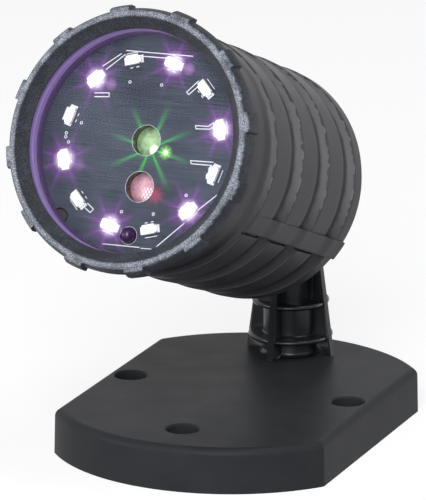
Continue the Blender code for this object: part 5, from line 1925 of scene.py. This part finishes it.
@dataclass
class Studio:
    """The floor, the lamps and the camera."""

    camera_at: Point3 = (0.6731, -1.6555, 0.5717)
    azimuth: float = 0.391
    elevation: float = 0.2767
    lens: float = 396.16
    sensor: float = 36.0
    floor_size: float = 6.0
    floor_colour: Colour = (0.34, 0.34, 0.345)
    floor_shine: float = 0.76
    world: float = 0.15
    world_colour: Colour = (0.95, 0.97, 1.0)
    aim: Point3 = (0.0, 0.0, 0.08)
    lamp_reach: float = 2.0
    lamp_size: float = 0.9
    lamps: dict[str, tuple[float, float, float]] = field(default_factory=lambda: {
        "key": (-8, 32, 27.0), "front": (-8, 8, 11.0), "left": (-70, 8, 16.0), "right": (98, 10, 9.0),
        "top": (50, 68, 7.0)})

    def look(self) -> Matrix:
        """Gives the camera's place and direction."""
        a, e = self.azimuth, self.elevation
        ahead = Vector((-math.sin(a) * math.cos(e), math.cos(a) * math.cos(e), -math.sin(e)))
        right = Vector((math.cos(a), math.sin(a), 0.0))
        up = right.cross(ahead)
        turned = Matrix((right, up, -ahead)).transposed().to_4x4()
        return Matrix.Translation(self.camera_at) @ turned

    def build_camera(self) -> None:
        """Sets up the camera at the photograph's angle."""
        data = bpy.data.cameras.new("camera")
        data.lens = self.lens
        data.sensor_width = self.sensor
        data.clip_end = 50.0
        camera = bpy.data.objects.new("camera", data)
        bpy.context.scene.collection.objects.link(camera)
        camera.matrix_world = self.look()
        bpy.context.scene.camera = camera

    def build_floor(self) -> None:
        """Lays the pale floor."""
        deselect()
        bpy.ops.mesh.primitive_plane_add(size=self.floor_size, location=(0, 0, 0))
        floor = bpy.context.object
        floor.name = "floor"
        shader = Shader("pale floor")
        shader.put("Base Color", self.floor_colour)
        shader.put("Roughness", 0.9)
        shader.put("Specular IOR Level", 0.0)
        shader.put("Emission Color", (1.0, 1.0, 1.0))
        seen = self.seen(shader.tree)
        shader.put("Emission Strength", shader.times(seen, self.floor_shine))
        floor.data.materials.append(shader.material)

    def seen(self, tree: bpy.types.NodeTree) -> Socket:
        """Gives 1 for a ray from the camera, through a window or from a gloss, and 0 for any other.

        Args:
            tree: The tree that needs it.

        Returns:
            The number.
        """
        path = tree.nodes.new("ShaderNodeLightPath")
        total = path.outputs["Is Camera Ray"]
        for name in ("Is Transmission Ray", "Is Glossy Ray"):
            more = tree.nodes.new("ShaderNodeMath")
            more.operation = "ADD"
            more.use_clamp = True
            tree.links.new(total, more.inputs[0])
            tree.links.new(path.outputs[name], more.inputs[1])
            total = more.outputs[0]
        return total

    def lamp(self, name: str, bearing: float, height: float, power: float) -> None:
        """Adds a soft square lamp that looks at the object.

        Args:
            name: The lamp's name.
            bearing: How far it stands to the camera's right, round the object, in degrees.
            height: How far it stands above the horizon, in degrees.
            power: Its power, in watts.
        """
        data = bpy.data.lights.new(name, "AREA")
        data.energy = power
        data.size = self.lamp_size
        item = bpy.data.objects.new(name, data)
        bpy.context.scene.collection.objects.link(item)
        round_z = math.radians(bearing) + self.azimuth - math.pi / 2
        away = Euler((0.0, math.radians(-height), round_z)).to_matrix() @ Vector((self.lamp_reach, 0.0, 0.0))
        item.matrix_world = (Matrix.Translation(Vector(self.aim) + away)
                             @ (-away).to_track_quat("-Z", "Y").to_matrix().to_4x4())

    def build_light(self) -> None:
        """Sets up the world and the lamps."""
        world = bpy.data.worlds.new("studio")
        bpy.context.scene.world = world
        world.use_nodes = True
        nodes, links = world.node_tree.nodes, world.node_tree.links
        lit = nodes["Background"]
        lit.inputs["Color"].default_value = (*self.world_colour, 1.0)
        lit.inputs["Strength"].default_value = self.world
        seen = nodes.new("ShaderNodeBackground")
        seen.inputs["Color"].default_value = (1.0, 1.0, 1.0, 1.0)
        seen.inputs["Strength"].default_value = 1.0
        blend = nodes.new("ShaderNodeMixShader")
        links.new(self.seen(world.node_tree), blend.inputs["Fac"])
        links.new(lit.outputs["Background"], blend.inputs[1])
        links.new(seen.outputs["Background"], blend.inputs[2])
        links.new(blend.outputs["Shader"], nodes["World Output"].inputs["Surface"])
        for name, (bearing, height, power) in self.lamps.items():
            self.lamp(name, bearing, height, power)

    def build(self) -> None:
        """Sets up everything round the object."""
        self.build_camera()
        self.build_floor()
        self.build_light()
        bpy.context.scene.view_settings.view_transform = "Standard"


def make_finishes(board: LightBoard, skin: Skin) -> dict[str, Material]:
    """Makes the finish of every material slot, and a few more for details.

    Args:
        board: The light board, whose lit lights shine on its lacquer.
        skin: The housing's skin, whose ridges get a painted highlight and painted groove shade.

    Returns:
        The finishes by name.
    """
    # Painted light on the board: a pool and rays round each lit light, a painted reflection of each lit light in
    # the window (the ghost), and the lasers' glow and star rays.
    halos = []
    for index in board.lit:
        spot = board.led_place(index)
        halos.append(Halo(spot, (1.0, 1.0, 0.95), 4.8, 1.0, 2.2, fall=2.0))
        halos.append(Halo(spot, (0.62, 0.07, 0.95), 9.0, 15.0, 0.46, 0.26, sharpness=12.0, fall=1.7))
        ghost = (spot[0] + board.ghost[0], spot[1] + board.ghost[1])
        halos.append(Halo(ghost, (0.75, 0.42, 0.90), 2.1, 1.0, board.ghost_light[index], fall=0.5))
    halos.append(Halo((3.1, -1.0), (0.02, 0.42, 0.02), 8.0, 17.5, 0.45, 1.5, sharpness=22.0, fall=1.6))
    halos.append(Halo((8.9, -1.8), (0.30, 0.85, 0.10), 2.6, 3.0, 0.9, 1.2, phase=0.0, sharpness=9.0, fall=1.0))
    halos.append(Halo((8.9, -1.8), (1.0, 1.0, 0.9), 1.0, 1.6, 1.2, 1.5, phase=0.0, sharpness=6.0, fall=1.0))
    halos.append(Halo((7.2, -15.9), (1.0, 0.01, 0.14), 3.4, 6.5, 0.42, 0.16, phase=15.0, sharpness=8.0,
                      fall=1.2))
    finishes = {
        "base_plastic": MouldedPlastic("base plastic", (0.024, 0.025, 0.028), (0.030, 0.031, 0.034), 0.42,
                                       gloss=0.05),
        "neck": MouldedPlastic("neck plastic", (0.007, 0.008, 0.010), (0.010, 0.011, 0.014), 0.28,
                               relief=0.004),
        "housing_plastic": MouldedPlastic("housing plastic", (0.044, 0.042, 0.048), (0.053, 0.051, 0.057), 0.40,
                                          gloss=0.12),
        "ridged_plastic": RidgedPlastic("ridged plastic", (0.044, 0.042, 0.048), (0.053, 0.051, 0.057),
                                        (0.128, 0.124, 0.133), (0.020, 0.020, 0.023), skin.first, skin.pitch,
                                        skin.flat),
        # The bezel's third and fourth colours paint a highlight along its crest.
        "bezel_plastic": SpeckledPlastic("bezel plastic", (0.016, 0.018, 0.023), (0.052, 0.056, 0.070),
                                         (0.10, 0.11, 0.135), (0.40, 0.43, 0.50), (2.2, 3.3), (40.1, 41.0),
                                         share=0.56),
        "lens_glass": ClearWindow("clear window"),
        # The gasket is pale; its violet colour and glow are painted light from the lit lights.
        "pale_gasket": Glow("gasket with painted violet light", (0.15, 0.105, 0.25), (0.38, 0.25, 0.62), 0.28),
        # The clamp ring is dark plastic with a painted violet glow from the lit lights.
        "clamp_ring": Glow("clamp ring with painted violet light", (0.012, 0.012, 0.015), (0.040, 0.018, 0.075), 1.0),
        "black_rubber": Rubber("black rubber", (0.018, 0.018, 0.019), (0.045, 0.045, 0.046)),
        "board_lacquer": BoardLacquer("board lacquer", (0.026, 0.034, 0.050), (0.072, 0.086, 0.118),
                                      tuple(halos)),
        "plain_board": BoardLacquer("plain board", (0.022, 0.050, 0.030), (0.030, 0.070, 0.040)),
        # The unlit lights' bodies and windows get a faint painted glow.
        "led_body": Glow("lamp body", (0.82, 0.82, 0.86), (0.90, 0.88, 1.0), 0.10),
        "led_dark": Glow("lamp window", (0.88, 0.87, 0.90), (0.95, 0.92, 1.0), 0.18),
        "led_glow": Glow("lit body", (0.9, 0.8, 0.9), (1.0, 0.86, 1.0), 1.5),
        "led_bright": Glow("lit window", (0.9, 0.8, 0.9), (1.0, 0.75, 1.0), 6.0),
        "tin": Metal("tin", (0.86, 0.87, 0.90), 0.35),
        "print": MouldedPlastic("silver print", (0.66, 0.68, 0.74), (0.86, 0.87, 0.92), 0.4, patch=2.0,
                                relief=0.0),
        "sensor_body": MouldedPlastic("sensor dome", (0.030, 0.006, 0.055), (0.035, 0.008, 0.065), 0.10,
                                      relief=0.0),
        "green_grating": LaserWindow("green window", board.lasers[0], (0.12, 0.20, 0.10), (0.42, 0.62, 0.34),
                                     (1.6, -2.6), 1.7, (1.0, 1.0, 0.98)),
        "red_grating": LaserWindow("red window", board.lasers[1], (0.30, 0.14, 0.19), (0.68, 0.38, 0.46),
                                   (1.8, -2.0), 2.6, (1.0, 0.9, 0.9), 1.2),
        "brass": Metal("brass", (0.66, 0.55, 0.36), 0.28),
        "aluminium": Metal("cast aluminium", (0.66, 0.67, 0.69), 0.42),
        "zinc_steel": Metal("zinc steel", (0.58, 0.59, 0.61), 0.32),
    }
    return {name: finish.material() for name, finish in finishes.items()}


def main() -> None:
    """Builds and dresses the whole projector, then sets the studio round it."""
    logging.basicConfig(level=logging.INFO, format="%(message)s")
    studio = Studio()
    studio.build()
    board = LightBoard()
    barrel = Barrel()
    finish = make_finishes(board, barrel.skin)
    BasePlate().build(finish["base_plastic"])
    NeckPost().build(finish["neck"])
    fork = Fork()
    fork.build_fork(finish["neck"])
    fork.build_bolt(finish["zinc_steel"])
    fork.build_knob(finish["neck"], finish["brass"])
    barrel.build(finish["ridged_plastic"])
    Bezel().build(finish["bezel_plastic"])
    FrontStack().build(finish["lens_glass"], finish["pale_gasket"], finish["clamp_ring"])
    board.build_board(finish["board_lacquer"], finish["print"])
    board.build_lamps(finish["led_body"], finish["tin"], finish["led_dark"], finish["led_glow"],
                      finish["led_bright"])
    board.build_sensor(finish["sensor_body"])
    board.build_lasers(finish["brass"], {"green": finish["green_grating"], "red": finish["red_grating"]})
    cap = RearCap()
    cap.build_cap(finish["housing_plastic"], finish["black_rubber"])
    cap.build_fixings(finish["zinc_steel"], finish["black_rubber"])
    finish["board_lacquer"] = finish["plain_board"]
    DressedFrame(finish).build()


if __name__ == "__main__":
    main()
